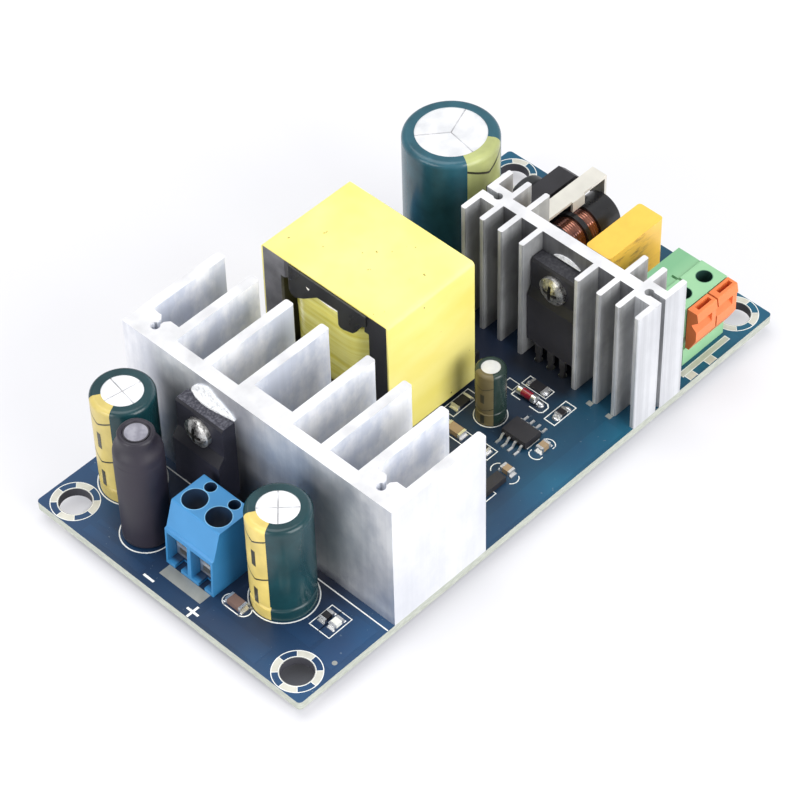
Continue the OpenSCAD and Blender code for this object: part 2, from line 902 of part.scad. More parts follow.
module out_term_section() {
    h = out_term_height;
    d = out_term_depth;
    polygon([
        [0, 0], [0.35, h - 4.9], [0.75, h - 4.75], [0.85, h - 4.5], [2.2, h - 0.15], [2.45, h],
        [d - 0.5, h], [d, h - 0.8], [d, 0]
    ]);
}

module output_terminal_housing() {
    cage_x = out_term_x + cage_front - running;
    color([0.12, 0.45, 0.75]) {
        difference() {
            translate([out_term_x, out_term_width / 2, top])
                rotate([90, 0, 0])
                    linear_extrude(out_term_width)
                        out_term_section();
            for (s = [-1, 1]) {
                translate([0, s * out_pitch / 2, 0]) {
                    translate([out_screw_x, 0, clamp_head_z - seat])
                        cylinder(d = well_diameter, h = out_term_height);
                    translate([out_screw_x, 0, cage_floor_z])
                        cylinder(r = clamp_screw_radius + running, h = out_term_height - 2);
                    translate([out_contact_pins[0][0] - 0.2, 0, bar_z])
                        cylinder(r = test_hole_radius, h = out_term_height);
                    translate([cage_x, -cage_width / 2 - running, cage_floor_z - 0.2])
                        cube([cage_back - cage_front + 2 * running, cage_width + 2 * running,
                            cage_height + clamp_travel + 0.3]);
                    translate([out_term_x - 1, 0, top])
                        wire_window();
                    translate([out_screw_x, -bar_width / 2 - running, top - 1])
                        cube([out_contact_pins[0][0] + 0.6 - out_screw_x, bar_width + 2 * running,
                            bar_z + bar_thickness + seat - top + 1]);
                    translate([cage_x - 0.5, -bar_width / 2 - running, bar_z - seat])
                        cube([2, bar_width + 2 * running, bar_thickness + 2 * seat]);
                }
            }
        }
    }
}

// The opening that a wire goes in by, with a notch in its sill that goes down to the board
module wire_window() {
    half = cage_width / 2 + running;
    translate([0, -half, cage_floor_z - 0.25 - top])
        cube([1 + cage_front, 2 * half, out_term_height - 5.4 - cage_floor_z + top]);
    translate([0, -0.65, -1])
        cube([1 + cage_front, 1.3, 2]);
}

// Fixed current bars, each with its leg through the board
module output_contacts() {
    leg_x = out_contact_pins[0][0];
    bar_x = out_term_x + cage_front - running - 0.4;
    color([0.8, 0.78, 0.7]) {
        for (s = [-1, 1]) {
            translate([0, s * out_pitch / 2, 0]) {
                translate([bar_x, -bar_width / 2, bar_z])
                    cube([leg_x + 0.25 - bar_x, bar_width, bar_thickness]);
                translate([leg_x - 0.25, -bar_width / 2, top])
                    cube([0.5, bar_width, bar_z - top]);
                translate([leg_x - 0.25, -0.4, lead_end])
                    cube([0.5, 0.8, top - lead_end]);
            }
        }
    }
}

module wire_clamp(y) {
    length = cage_back - cage_front;
    translate([out_term_x + cage_front, y, cage_floor_z]) {
        difference() {
            translate([0, -cage_width / 2, 0])
                cube([length, cage_width, cage_height]);
            translate([-1, -cage_width / 2 + cage_wall, cage_wall])
                cube([length + 2, cage_width - 2 * cage_wall, cage_height - 2 * cage_wall]);
            translate([out_screw_x - out_term_x - cage_front, 0, cage_height - cage_wall - 1])
                cylinder(r = clamp_screw_radius + running / 2, h = cage_wall + 2);
        }
    }
}

module output_clamp_near() {
    color([0.82, 0.82, 0.83])
        wire_clamp(-out_pitch / 2);
}

module output_clamp_far() {
    color([0.82, 0.82, 0.83])
        wire_clamp(out_pitch / 2);
}

// A slotted screw: its tip bears on the current bar and its thread carries the clamp
module clamp_screw(y) {
    tip_z = bar_z + bar_thickness + seat;
    translate([out_screw_x, y, tip_z]) {
        difference() {
            union() {
                cylinder(r = clamp_screw_radius, h = clamp_head_z - tip_z + 0.5);
                translate([0, 0, clamp_head_z - tip_z])
                    cylinder(r = clamp_head_radius, h = clamp_head_height);
            }
            translate([-3, -0.35, clamp_head_z - tip_z + clamp_head_height - 0.9])
                cube([6, 0.7, 2]);
        }
    }
}

module output_screw_near() {
    color([0.8, 0.8, 0.8])
        clamp_screw(-out_pitch / 2);
}

module output_screw_far() {
    color([0.8, 0.8, 0.8])
        clamp_screw(out_pitch / 2);
}

// Input terminal: wires go in from above, and two levers in front open the springs

module in_term_section() {
    h = in_term_height;
    d = in_term_depth;
    polygon([
        [0, 0], [0, h], [5.2, h], [5.5, h - 0.35], [d, h - 0.35], [d, 0]
    ]);
}

module input_terminal_housing() {
    pocket_bottom = lever_bottom - top - 0.6;
    pocket_depth = (lever_pivot_z - lever_bottom) * sin(lever_travel) - lever_gap + 0.2;
    color([0.45, 0.78, 0.52]) {
        difference() {
            translate([in_term_x, in_term_y, top])
                rotate([90, 0, 90])
                    linear_extrude(in_term_width)
                        in_term_section();
            for (k = [0, 1]) {
                middle = in_term_x + (k + 0.5) * in_pitch;
                translate([middle, wire_row_y, top + 6])
                    cylinder(d = wire_hole, h = in_term_height);
                translate([middle - 2, in_term_y + 1.3, top - 1])
                    cube([4, in_term_depth - 2.5, 9.4]);
                translate([middle - in_pitch / 2 - 0.01, in_term_y - 1, top + pocket_bottom])
                    cube([in_pitch + 0.02, 1 + pocket_depth, lever_pivot_z - top - pocket_bottom - 1.4]);
            }
            translate([in_term_x + in_pitch - 0.8, wire_row_y + 1.5, top + in_term_height - 1])
                cube([0.5, 2.6, 2]);
        }
        for (k = [0, 1]) {
            lever_bearing(in_term_x + (k + 0.5) * in_pitch);
        }
    }
}

// The pin that a lever turns on, carried by a tongue of the housing that goes into the lever
module lever_bearing(middle) {
    translate([middle - 0.9, lever_pivot_y, lever_pivot_z])
        rotate([0, 90, 0])
            cylinder(r = lever_pin, h = 1.8);
    translate([middle - 0.9, lever_pivot_y, lever_pivot_z - 0.4])
        cube([1.8, in_term_y - lever_pivot_y + 0.5, 0.8]);
}

// A lever, in its own frame: pivot at the origin, front towards -Y
module lever() {
    back = in_term_y - lever_gap - lever_pivot_y;
    front = back - lever_thickness;
    high = lever_top - lever_pivot_z;
    low = lever_bottom - lever_pivot_z;
    rib = 1;
    translate([-lever_width / 2, 0, 0]) {
        rotate([90, 0, 90]) {
            difference() {
                linear_extrude(lever_width)
                    polygon([
                        [back, high], [front + 0.25, high], [front + 0.15, high - 0.1],
                        [front - 0.15, high - 1.7], [front + 0.1, high - 1.9], [front + 0.1, low + 2.7],
                        [front + 1.4, low], [back, low]
                    ]);
                translate([0, 0, -1])
                    linear_extrude(lever_width + 1 - rib)
                        polygon([
                            [front - 0.5, high - 1.25], [front + 1.15, high - 2.9], [front + 0.1, high - 4],
                            [front - 0.5, high - 4.2]
                        ]);
                translate([front + 0.75, high - 1.5, 1.1])
                    cube([0.85, 3, 3.1]);
                translate([-0.9, -0.9, lever_width / 2 - 1])
                    cube([3, 1.8, 2]);
            }
        }
    }
}

module input_lever_inner() {
    color([0.98, 0.55, 0.3])
        translate([in_term_x + in_pitch / 2, lever_pivot_y, lever_pivot_z])
            lever();
}

module input_lever_outer() {
    color([0.98, 0.55, 0.3])
        translate([in_term_x + 1.5 * in_pitch, lever_pivot_y, lever_pivot_z])
            lever();
}

module input_contacts() {
    color([0.8, 0.78, 0.7]) {
        for (p = in_contact_pins) {
            translate([p[0] - 1.4, in_term_y + 1.6, top + 0.3])
                cube([2.8, in_term_depth - 3.2, 0.5]);
            translate([p[0] - 1.4, in_term_y + in_term_depth - 2.1, top + 0.3])
                cube([2.8, 0.5, 7]);
            translate([p[0] - flat_lead[0] / 2, p[1] - flat_lead[1] / 2, lead_end])
                cube([flat_lead[0], flat_lead[1], top + 0.4 - lead_end]);
        }
    }
}

// Bent spring strips that grip the wires, seated on the contacts
module input_springs() {
    low = 0.8;
    color([0.85, 0.85, 0.86]) {
        for (p = in_contact_pins) {
            translate([p[0] - 1.2, in_term_y, top]) {
                rotate([90, 0, 90]) {
                    linear_extrude(2.4) {
                        polygon([
                            [1.7, low], [4.4, low], [4.4, low + 0.3], [2, low + 0.3], [2, 7.4],
                            [4.6, 5.2], [4.8, 5.45], [1.85, 8], [1.7, 8]
                        ]);
                    }
                }
            }
        }
    }
}

// Line filter: two windings on one bobbin round a ferrite rod, held by a steel strap

filter_sections = [
    [filter_left + 3.6, filter_left + 6.5],
    [filter_left + 7.5, filter_left + 9.5]
];

module along_x(from, to, radius) {
    translate([from, filter_axis_y, filter_axis_z])
        rotate([0, 90, 0])
            cylinder(r = radius, h = to - from);
}

module filter_rod() {
    color([0.25, 0.24, 0.26])
        along_x(strap_left + strap_thickness + 0.1, strap_right - strap_thickness - 0.1, filter_rod_radius);
}

module filter_bobbin() {
    flange = flange_diameter / 2;
    tube = filter_rod_radius + 0.7;
    s = filter_sections;
    color([0.1, 0.09, 0.11]) {
        difference() {
            union() {
                along_x(filter_left, filter_right, tube);
                along_x(filter_left, s[0][0] - seat, flange);
                along_x(s[0][1] + seat, s[1][0] - seat, flange);
                along_x(s[1][1] + seat, filter_right, flange);
                translate([filter_left, filter_axis_y - 3, top + 0.1])
                    cube([1.4, 6, filter_axis_z - top - 1]);
                translate([filter_right - 1.9, filter_axis_y - 3, top + 0.1])
                    cube([1.9, 6, filter_axis_z - top - 1]);
            }
            along_x(filter_left - 1, filter_right + 1, filter_rod_radius + seat);
        }
    }
}

module filter_windings() {
    tube = filter_rod_radius + 0.7;
    color([0.75, 0.42, 0.28]) {
        for (s = filter_sections) {
            difference() {
                along_x(s[0], s[1], flange_diameter / 2 - 0.4);
                along_x(s[0] - 1, s[1] + 1, tube + seat);
            }
        }
    }
}

module filter_strap() {
    color([0.85, 0.85, 0.83]) {
        translate([strap_left, strap_y + strap_width / 2, 0]) {
            rotate([90, 0, 0]) {
                linear_extrude(strap_width) {
                    difference() {
                        translate([0, top + 0.1])
                            square([strap_right - strap_left, strap_top - top - 0.1]);
                        translate([strap_thickness, top - 1])
                            square([strap_right - strap_left - 2 * strap_thickness,
                                strap_top - strap_thickness - top + 1]);
                    }
                }
            }
        }
        translate([strap_left + 8, strap_y - strap_width / 2 - strap_lug[1], strap_top - strap_lug[2]])
            cube(strap_lug + [0, 0.1, 0]);
    }
}

// Mains capacitor, bridge rectifier, thermistor, fuse and safety capacitor

module film_capacitor() {
    color([0.98, 0.8, 0.35])
        translate(at3(film_at, top))
            rounded_plate(film_length, film_thickness, 0.6, film_height);
}

module bridge_rectifier() {
    color([0.15, 0.15, 0.18]) {
        translate([bridge_at[0] - bridge_length / 2, bridge_at[1] + bridge_thickness / 2, top]) {
            rotate([90, 0, 0]) {
                linear_extrude(bridge_thickness) {
                    polygon([
                        [0, 0.6], [bridge_length, 0.6], [bridge_length, bridge_height - 1.6],
                        [bridge_length - 1.6, bridge_height], [0, bridge_height]
                    ]);
                }
            }
        }
    }
}

// A coated disc standing on edge, with its coating run down over its leads
module coated_disc(place, radius, thickness) {
    translate([place[0], place[1] + thickness / 2, top + radius + 1.4]) {
        rotate([90, 0, 0]) {
            rotate_extrude() {
                square([radius - thickness * 0.3, thickness]);
                translate([radius - thickness * 0.3, thickness * 0.3])
                    circle(thickness * 0.3);
                translate([radius - thickness * 0.3, thickness * 0.7])
                    circle(thickness * 0.3);
                translate([radius - thickness * 0.3, thickness * 0.3])
                    square([thickness * 0.3, thickness * 0.4]);
            }
        }
    }
    for (s = [-1, 1]) {
        translate(at3(place + [s * 2.5, 0], top + 0.4))
            cylinder(r = 0.7, h = radius);
    }
}

module thermistor() {
    color([0.12, 0.12, 0.13])
        coated_disc(thermistor_at, thermistor_radius, thermistor_thickness);
}

module safety_capacitor() {
    color([0.15, 0.35, 0.65])
        coated_disc(safety_at, safety_radius, safety_thickness);
}

module input_fuse() {
    color([0.12, 0.12, 0.12])
        translate(at3(fuse_at, top))
            rounded_plate(fuse_size[0], fuse_size[1], 0.5, fuse_size[2]);
}

module optocoupler() {
    color([0.1, 0.1, 0.1])
        translate([opto_at[0] - opto_size[0] / 2, opto_at[1] - opto_size[1] / 2, top + 0.4])
            cube(opto_size);
}

// Leads of the parts that stand on them
module component_leads() {
    color([0.75, 0.75, 0.76]) {
        wires(concat(film_leads, fuse_leads), wire_radius, top);
        wires(concat(thermistor_leads, safety_leads), wire_radius, top + 0.4);
        wires(bridge_leads, thick_wire_radius, top + 0.6);
        wires(filter_pins, thick_wire_radius, top + 0.1);
        for (p = opto_pins) {
            translate([p[0] - 0.25, p[1] - 0.25, lead_end])
                cube([0.5, 0.5, top + 2.4 - lead_end]);
            translate([p[0] > opto_at[0] ? opto_at[0] + opto_size[0] / 2 : p[0] - 0.25, p[1] - 0.25, top + 1.9])
                cube([3.81 + 0.25 - opto_size[0] / 2, 0.5, 0.5]);
        }
        for (s = [-1, 1], k = [-1.5:1.5]) {
            translate([chip_at[0] + s * chip_size[0] / 2, chip_at[1] + k * chip_lead_pitch, top])
                chip_lead(s);
        }
        for (s = [-1, 1])
            diode_barrel(s > 0 ? diode_glass / 2 : -diode_length / 2, (diode_length - diode_glass) / 2, 1.5);
    }
}

// Surface mounted parts

// The moulding, with a slight taper above and below its leads
module control_chip() {
    half = chip_size[0] / 2;
    color([0.12, 0.12, 0.13])
        translate([chip_at[0], chip_at[1] + chip_size[1] / 2, top])
            rotate([90, 0, 0])
                linear_extrude(chip_size[1])
                    polygon([
                        [-half + 0.1, 0.15], [half - 0.1, 0.15], [half, 0.65], [half, 0.9],
                        [half - 0.12, chip_size[2]], [-half + 0.12, chip_size[2]], [-half, 0.9], [-half, 0.65]
                    ]);
}

// A gull wing lead: it leaves the moulding at half height and slopes down to a flat foot
module chip_lead(side) {
    reach = chip_lead_reach;
    mirror([side > 0 ? 0 : 1, 0, 0])
        translate([0, 0.2, 0])
            rotate([90, 0, 0])
                linear_extrude(0.4)
                    polygon([
                        [0, 0.68], [0.3, 0.68], [0.8, 0], [reach, 0], [reach, 0.2], [0.9, 0.2],
                        [0.4, 0.88], [0, 0.88]
                    ]);
}

module chips(list, height) {
    for (c = list) {
        translate([c[0] - c[2] / 2, c[1] - c[3] / 2, top])
            cube([c[2], c[3], height]);
    }
}

module chip_resistors() {
    color([0.14, 0.13, 0.14]) {
        chips(resistor_chips, 0.6);
        chips(upright_resistor_chips, 0.55);
    }
}

module chip_capacitors() {
    color([0.6, 0.5, 0.38])
        chips(capacitor_chips, 1);
}

// A round piece of the glass diode, from a place along its axis
module diode_barrel(from, length, diameter) {
    translate([diode_at[0], diode_at[1] + from + length, top + 0.75])
        rotate([90, 0, 0])
            cylinder(d = diameter, h = length);
}

// A glass diode lying between its two metal end caps
module glass_diode() {
    color([0.6, 0.15, 0.15])
        diode_barrel(-diode_glass / 2, diode_glass, 1.4);
}

module bias_diode() {
    color([0.3, 0.28, 0.28])
        translate([-6.2, -21.4, top])
            cube([4.4, 1.9, 1.1]);
}

module power_led() {
    color([0.95, 0.95, 0.9])
        translate([led_at[0] - 1, led_at[1] - 0.6, top])
            cube([2, 1.25, 0.8]);
}

// Solder joints under the board, one ring of solder round each lead

module joints(places, radius) {
    for (p = places) {
        translate(at3(p, 0)) {
            rotate_extrude()
                polygon([[radius + 0.02, 0], [radius + 0.75, 0], [radius + 0.3, -0.5], [radius + 0.02, -1.1]]);
        }
    }
}

module solder_joints() {
    color([0.7, 0.7, 0.72]) {
        joints(wire_places, wire_radius);
        joints(thick_places, thick_wire_radius);
        joints(flat_places, flat_lead_radius);
        joints(sink_pin_places, out_channel_r - seat);
    }
}

circuit_board();
output_heatsink();
input_heatsink();
heatsink_pins();
transformer_core_upper();
transformer_core_lower();
transformer_bobbin();
transformer_winding();
transformer_tape();
transformer_pins();
bulk_capacitor_can();
bulk_capacitor_sleeve();
far_output_capacitor_can();
far_output_capacitor_sleeve();
near_output_capacitor_can();
near_output_capacitor_sleeve();
bias_capacitor_can();
bias_capacitor_sleeve();
capacitor_leads();
choke_rod();
choke_winding();
choke_sleeve();
rectifier_body();
rectifier_leads();
rectifier_paste();
rectifier_screw();
transistor_body();
transistor_leads();
transistor_paste();
transistor_screw();
output_terminal_housing();
output_contacts();
output_clamp_near();
output_clamp_far();
output_screw_near();
output_screw_far();
input_terminal_housing();
input_contacts();
input_springs();
input_lever_inner();
input_lever_outer();
film_capacitor();
filter_rod();
filter_bobbin();
filter_windings();
filter_strap();
bridge_rectifier();
thermistor();
input_fuse();
optocoupler();
safety_capacitor();
component_leads();
control_chip();
chip_resistors();
chip_capacitors();
glass_diode();
bias_diode();
power_led();
solder_joints();
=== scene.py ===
# %% [markdown]
# An open frame power supply is a whole converter on one board: mains comes in at one end and a
# low direct voltage leaves at the other. The shapes come from the CAD model, loaded here as a
# fixed frame. This lesson dresses it: print on the board, metal, plastic, tape, wire and light.

# %% Load the frame
import math

import bmesh
import bpy
from mathutils import Matrix, Vector


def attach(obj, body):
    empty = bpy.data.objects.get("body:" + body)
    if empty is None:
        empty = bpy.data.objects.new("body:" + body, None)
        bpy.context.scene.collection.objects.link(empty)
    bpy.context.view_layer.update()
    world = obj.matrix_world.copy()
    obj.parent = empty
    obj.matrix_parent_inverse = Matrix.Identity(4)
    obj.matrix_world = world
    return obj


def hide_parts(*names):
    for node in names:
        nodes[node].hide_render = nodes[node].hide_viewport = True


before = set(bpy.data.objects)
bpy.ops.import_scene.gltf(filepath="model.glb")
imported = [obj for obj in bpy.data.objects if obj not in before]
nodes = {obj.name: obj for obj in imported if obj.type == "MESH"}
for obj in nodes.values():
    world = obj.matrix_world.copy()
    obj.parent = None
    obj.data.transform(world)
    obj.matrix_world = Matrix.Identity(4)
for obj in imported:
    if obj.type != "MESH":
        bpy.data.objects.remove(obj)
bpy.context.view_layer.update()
MM = 0.001
BODY = "frame"
BOARD_TOP = 1.6
scene = bpy.context.scene

# %% [markdown]
# Every material here is made of nodes. Painted pictures could do it too, but they blur close up,
# and nodes stay sharp. Noise keeps them uneven, as anything moulded or extruded is. A class holds
# one finish, because a tree built node by node takes many lines.

# %% Material nodes


class Tree:
    """A material's node tree, with short calls for the nodes used here."""

    def __init__(self, name):
        self.material = bpy.data.materials.new(name)
        self.material.use_nodes = True
        self.tree = self.material.node_tree
        self.shader = self.tree.nodes["Principled BSDF"]
        self.object = self.tree.nodes.new("ShaderNodeTexCoord").outputs["Object"]
        self.facing = self.tree.nodes.new("ShaderNodeTexCoord").outputs["Normal"]

    def link(self, a, b):
        self.tree.links.new(a, b)

    def feed(self, socket, value):
        if isinstance(value, bpy.types.NodeSocket):
            self.link(value, socket)
        else:
            socket.default_value = value

    def set(self, **values):
        for key, value in values.items():
            self.feed(self.shader.inputs[key.replace("_", " ")], value)

    def maths(self, operation, *values):
        node = self.tree.nodes.new("ShaderNodeMath")
        node.operation = operation
        for socket, value in zip(node.inputs, values):
            self.feed(socket, value)
        return node.outputs[0]

    def split(self, vector=None):
        node = self.tree.nodes.new("ShaderNodeSeparateXYZ")
        self.link(vector or self.object, node.inputs[0])
        return node.outputs

    def noise(self, scale, detail=3.0, stretch=(1, 1, 1), rough=0.5):
        mapping = self.tree.nodes.new("ShaderNodeMapping")
        self.link(self.object, mapping.inputs["Vector"])
        mapping.inputs["Scale"].default_value = stretch
        node = self.tree.nodes.new("ShaderNodeTexNoise")
        self.link(mapping.outputs[0], node.inputs["Vector"])
        node.inputs["Scale"].default_value = scale
        node.inputs["Detail"].default_value = detail
        node.inputs["Roughness"].default_value = rough
        return node.outputs["Fac"]

    def ramp(self, value, low, high, to_low=0.0, to_high=1.0):
        node = self.tree.nodes.new("ShaderNodeMapRange")
        for socket, v in zip(node.inputs, (value, low, high, to_low, to_high)):
            self.feed(socket, v)
        return node.outputs[0]

    def spread(self, noise, to_low=0.0, to_high=1.0):
        """Most of a noise lies from 0.3 to 0.7; this spreads it over two values."""
        return self.ramp(noise, 0.3, 0.7, to_low, to_high)

    def mix(self, share, a, b):
        node = self.tree.nodes.new("ShaderNodeMix")
        node.data_type = "RGBA"
        self.feed(node.inputs["Factor"], share)
        for socket, color in zip(node.inputs[6:8], (a, b)):
            self.feed(socket, color if isinstance(color, bpy.types.NodeSocket) else (*color, 1))
        return node.outputs[2]

    def mix_value(self, share, a, b):
        node = self.tree.nodes.new("ShaderNodeMix")
        node.data_type = "FLOAT"
        for place, value in ((0, share), (2, a), (3, b)):
            self.feed(node.inputs[place], value)
        return node.outputs[0]

    def bump(self, height, strength, distance):
        """Raises the surface by a height, over a distance in millimetres."""
        node = self.tree.nodes.new("ShaderNodeBump")
        node.inputs["Strength"].default_value = strength
        node.inputs["Distance"].default_value = distance * MM
        self.link(height, node.inputs["Height"])
        before = self.shader.inputs["Normal"].links
        if before:
            self.link(before[0].from_socket, node.inputs["Normal"])
        self.link(node.outputs[0], self.shader.inputs["Normal"])


print("calls for nodes:", sum(not call.startswith("_") for call in vars(Tree)))

# %% [markdown]
# On the real board a colour changes where a part ends or a wall begins. The coordinates of the
# object say where that is, so the calls below turn places in millimetres into shares from 0 to 1.
# Such masks leave the mesh alone, and several can be multiplied.

# %% Places in a material


class Nodes(Tree):
    """A node tree that also picks out places, given in millimetres."""

    def slope(self, value, low, high, to_low=0.0, to_high=1.0):
        """A ramp between two places in millimetres."""
        return self.ramp(value, low * MM, high * MM, to_low, to_high)

    def above(self, value, limit):
        """1 where the value is over a limit in millimetres."""
        return self.maths("GREATER_THAN", value, limit * MM)

    def below(self, value, limit):
        return self.maths("LESS_THAN", value, limit * MM)

    def inside(self, value, low, high):
        return self.all(self.above(value, low), self.below(value, high))

    def all(self, *shares):
        result = shares[0]
        for share in shares[1:]:
            result = self.maths("MULTIPLY", result, share)
        return result

    def either(self, a, b):
        return self.maths("MAXIMUM", a, b)

    def offset(self, value, place):
        return self.maths("SUBTRACT", value, place * MM)

    def away(self, value, place=0.0):
        """How far a value is from a place in millimetres, to either side."""
        return self.maths("ABSOLUTE", self.offset(value, place))

    def reach(self, a, b):
        """Distance from the middle along two directions."""
        squares = self.maths("ADD", self.all(a, a), self.all(b, b))
        return self.maths("SQRT", squares)


print("calls for places:", sum(not call.startswith("_") for call in vars(Nodes)))

# %% [markdown]
# Most parts here have a plain finish: moulded plastic, tinned wire, a dipped coat. One function
# makes them all from a colour, a roughness, and the size of the patches and of the grain. Copying
# one material and changing it by hand would be slower, and hard to keep alike.

# %% Plain finishes


def shade(color, factor):
    return tuple(min(1.0, c * factor) for c in color)


def surface(name, color, rough=0.5, metal=0.0, patch=0.06, patch_scale=220, grain=0.15,
            grain_scale=2500, grain_mm=0.02, coat=0.0):
    """A plain finish: patchy colour and gloss, and a fine grain."""
    n = Nodes(name)
    broad = n.noise(patch_scale, 4)
    n.set(Base_Color=n.mix(n.spread(broad), shade(color, 1 - patch), shade(color, 1 + patch)))
    n.set(Metallic=metal, Roughness=n.spread(broad, rough * 0.85, min(1, rough * 1.15)))
    n.set(Coat_Weight=coat, Coat_Roughness=0.15)
    n.bump(n.noise(grain_scale, 2), grain, grain_mm)
    return n


def dress(finish, *names):
    """Gives CAD nodes a finish in place of the plain one they came with."""
    for name in names:
        mesh = nodes[name].data
        mesh.materials.clear()
        mesh.materials.append(finish.material)
    print(finish.material.name, "on", ", ".join(names))


print("half of white:", shade((1, 1, 1), 0.5))

# %% [markdown]
# The board is pressed glass cloth and resin with copper etched on both sides. A coat of blue
# solder mask covers all but the pads, and only sawn edges show the pale resin. Two materials on
# two sets of faces would do; one that switches by height leaves the mesh alone. Broad noise
# darkens the mask towards the middle with painted shade, where the parts stand and little light
# comes. A painted shadow lies at the foot of the big transistor, and painted shade darkens the
# walls of the screw holes.

# %% Solder mask
HOLE_X, HOLE_Y = 49.5, 24.0
HOLES = [(sx * HOLE_X, sy * HOLE_Y) for sx in (-1, 1) for sy in (-1, 1)]
PLATED_RADIUS = 2.75
TRANSISTOR_FOOT = (21.0, -10.2)
SKIN = 0.0001
MASK_SHADE_TONES = (0.009, 0.011, 0.023), (0.008, 0.016, 0.040)
NAVY = (0.011, 0.043, 0.112), (0.012, 0.066, 0.160)
TEAL = (0.009, 0.066, 0.128), (0.010, 0.100, 0.168)
DUST = (0.16, 0.22, 0.27)


def solder_mask(name, lift):
    """The mask, with painted shade towards the middle of the board; lift brightens it over copper.
    """
    n = Nodes(name)
    x, y, z = n.split()
    mottle = n.ramp(n.noise(70, 3), 0.35, 0.65)
    mask_in_shade, navy, teal = [n.mix(mottle, *[shade(tone, lift) for tone in pair])
                        for pair in (MASK_SHADE_TONES, NAVY, TEAL)]
    # Painted shade: the mask is darker towards the middle of the board and lighter towards its
    # sides and ends.
    side = n.slope(n.away(y), 14, 27.5, 0.0, 0.9)
    end = n.slope(n.away(x), 34, 52, 0.0, 0.45)
    share = n.maths("ADD", n.maths("ADD", side, end), n.spread(n.noise(30, 2), -0.15, 0.2))
    blue_mask = n.mix(n.ramp(share, 0, 1), mask_in_shade, n.mix(n.slope(x, -25, 15), navy, teal))
    dust = n.maths("GREATER_THAN", n.noise(1500, 2), 0.74)
    blue_mask = n.mix(n.all(dust, n.ramp(share, 0, 1, 0.1, 0.5)), blue_mask, DUST)
    # Painted shadow: the mask turns almost black at the foot of the big transistor, in its shade.
    foot = n.all(n.slope(n.away(x, TRANSISTOR_FOOT[0]), 6.0, 3.0),
                 n.slope(n.away(y, TRANSISTOR_FOOT[1]), 8.0, 5.2))
    blue_mask = n.mix(n.all(foot, 0.85), blue_mask, (0.007, 0.008, 0.013))
    weave = n.ramp(n.noise(900, 3, (1, 1, 6)), 0.35, 0.65)
    resin = n.mix(weave, (0.36, 0.38, 0.33), (0.48, 0.50, 0.44))
    from_hole = n.reach(n.offset(n.away(x), HOLE_X), n.offset(n.away(y), HOLE_Y))
    # Painted shade: the walls of the screw holes are dark, for the shade inside them.
    resin = n.mix(n.below(from_hole, PLATED_RADIUS), resin, (0.052, 0.052, 0.064))
    faces = n.maths("SUBTRACT", 1.0, n.inside(z, SKIN, BOARD_TOP - SKIN))
    n.set(Base_Color=n.mix(faces, resin, blue_mask))
    n.set(Roughness=n.ramp(faces, 0, 1, 0.7, 0.38), Specular_IOR_Level=0.38)
    n.bump(n.noise(420, 4), 0.12, 0.05)
    return n


dress(solder_mask("solder_mask", 1.0), "circuit_board")

# %% [markdown]
# Copper under the mask stands up a little and looks brighter, and tin shows bare round each screw
# hole. A drawn picture could show them flat. Here they are thin prisms over outlines in
# millimetres, so that they catch the light on a real edge.

# %% Copper and hole rings


def piece(name, bm, finish, body=BODY, smooth=False):
    mesh = bpy.data.meshes.new(name)
    bmesh.ops.recalc_face_normals(bm, faces=bm.faces)
    bm.to_mesh(mesh)
    bm.free()
    for polygon in mesh.polygons:
        polygon.use_smooth = smooth
    mesh.materials.append(finish.material)
    obj = bpy.data.objects.new(name, mesh)
    scene.collection.objects.link(obj)
    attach(obj, body)
    print(name, "faces:", len(mesh.polygons))
    return obj


def bridge(bm, a, b):
    """Joins two rings of vertices with a band of faces."""
    for k in range(len(a)):
        m = (k + 1) % len(a)
        bm.faces.new((a[k], a[m], b[m], b[k]))


def stack(bm, rings):
    """Joins rings of vertices one to the next, and closes the first and the last."""
    for a, b in zip(rings, rings[1:]):
        bridge(bm, a, b)
    bm.faces.new(rings[0][::-1])
    bm.faces.new(rings[-1])


def prism(bm, outline, low, high, grow=0.0):
    """An upright prism over an outline in millimetres; grow slopes its foot outwards."""
    cx = sum(p[0] for p in outline) / len(outline)
    cy = sum(p[1] for p in outline) / len(outline)
    wide = []
    for x, y in outline:
        away = math.hypot(x - cx, y - cy) or 1
        wide.append((x + (x - cx) / away * grow, y + (y - cy) / away * grow))
    foot = [bm.verts.new((x * MM, y * MM, low * MM)) for x, y in wide]
    head = [bm.verts.new((x * MM, y * MM, high * MM)) for x, y in outline]
    bm.faces.new(head)
    bm.faces.new(foot[::-1])
    bridge(bm, foot, head)


def rectangle(x0, y0, x1, y1):
    return [(x0, y0), (x1, y0), (x1, y1), (x0, y1)]


def arc(cx, cy, inner, outer, start=0, end=360, step=6):
    """Quads along an arc, in degrees."""
    count = max(1, round(abs(end - start) / step))
    turns = [math.radians(start + (end - start) * k / count) for k in range(count + 1)]
    return [[(cx + radius * math.cos(turn), cy + radius * math.sin(turn))
             for radius, turn in ((inner, a), (outer, a), (outer, b), (inner, b))]
            for a, b in zip(turns, turns[1:])]


def printed(name, outlines, finish, low=BOARD_TOP, thick=0.03):
    bm = bmesh.new()
    for outline in outlines:
        prism(bm, outline, low, low + thick)
    return piece(name, bm, finish)


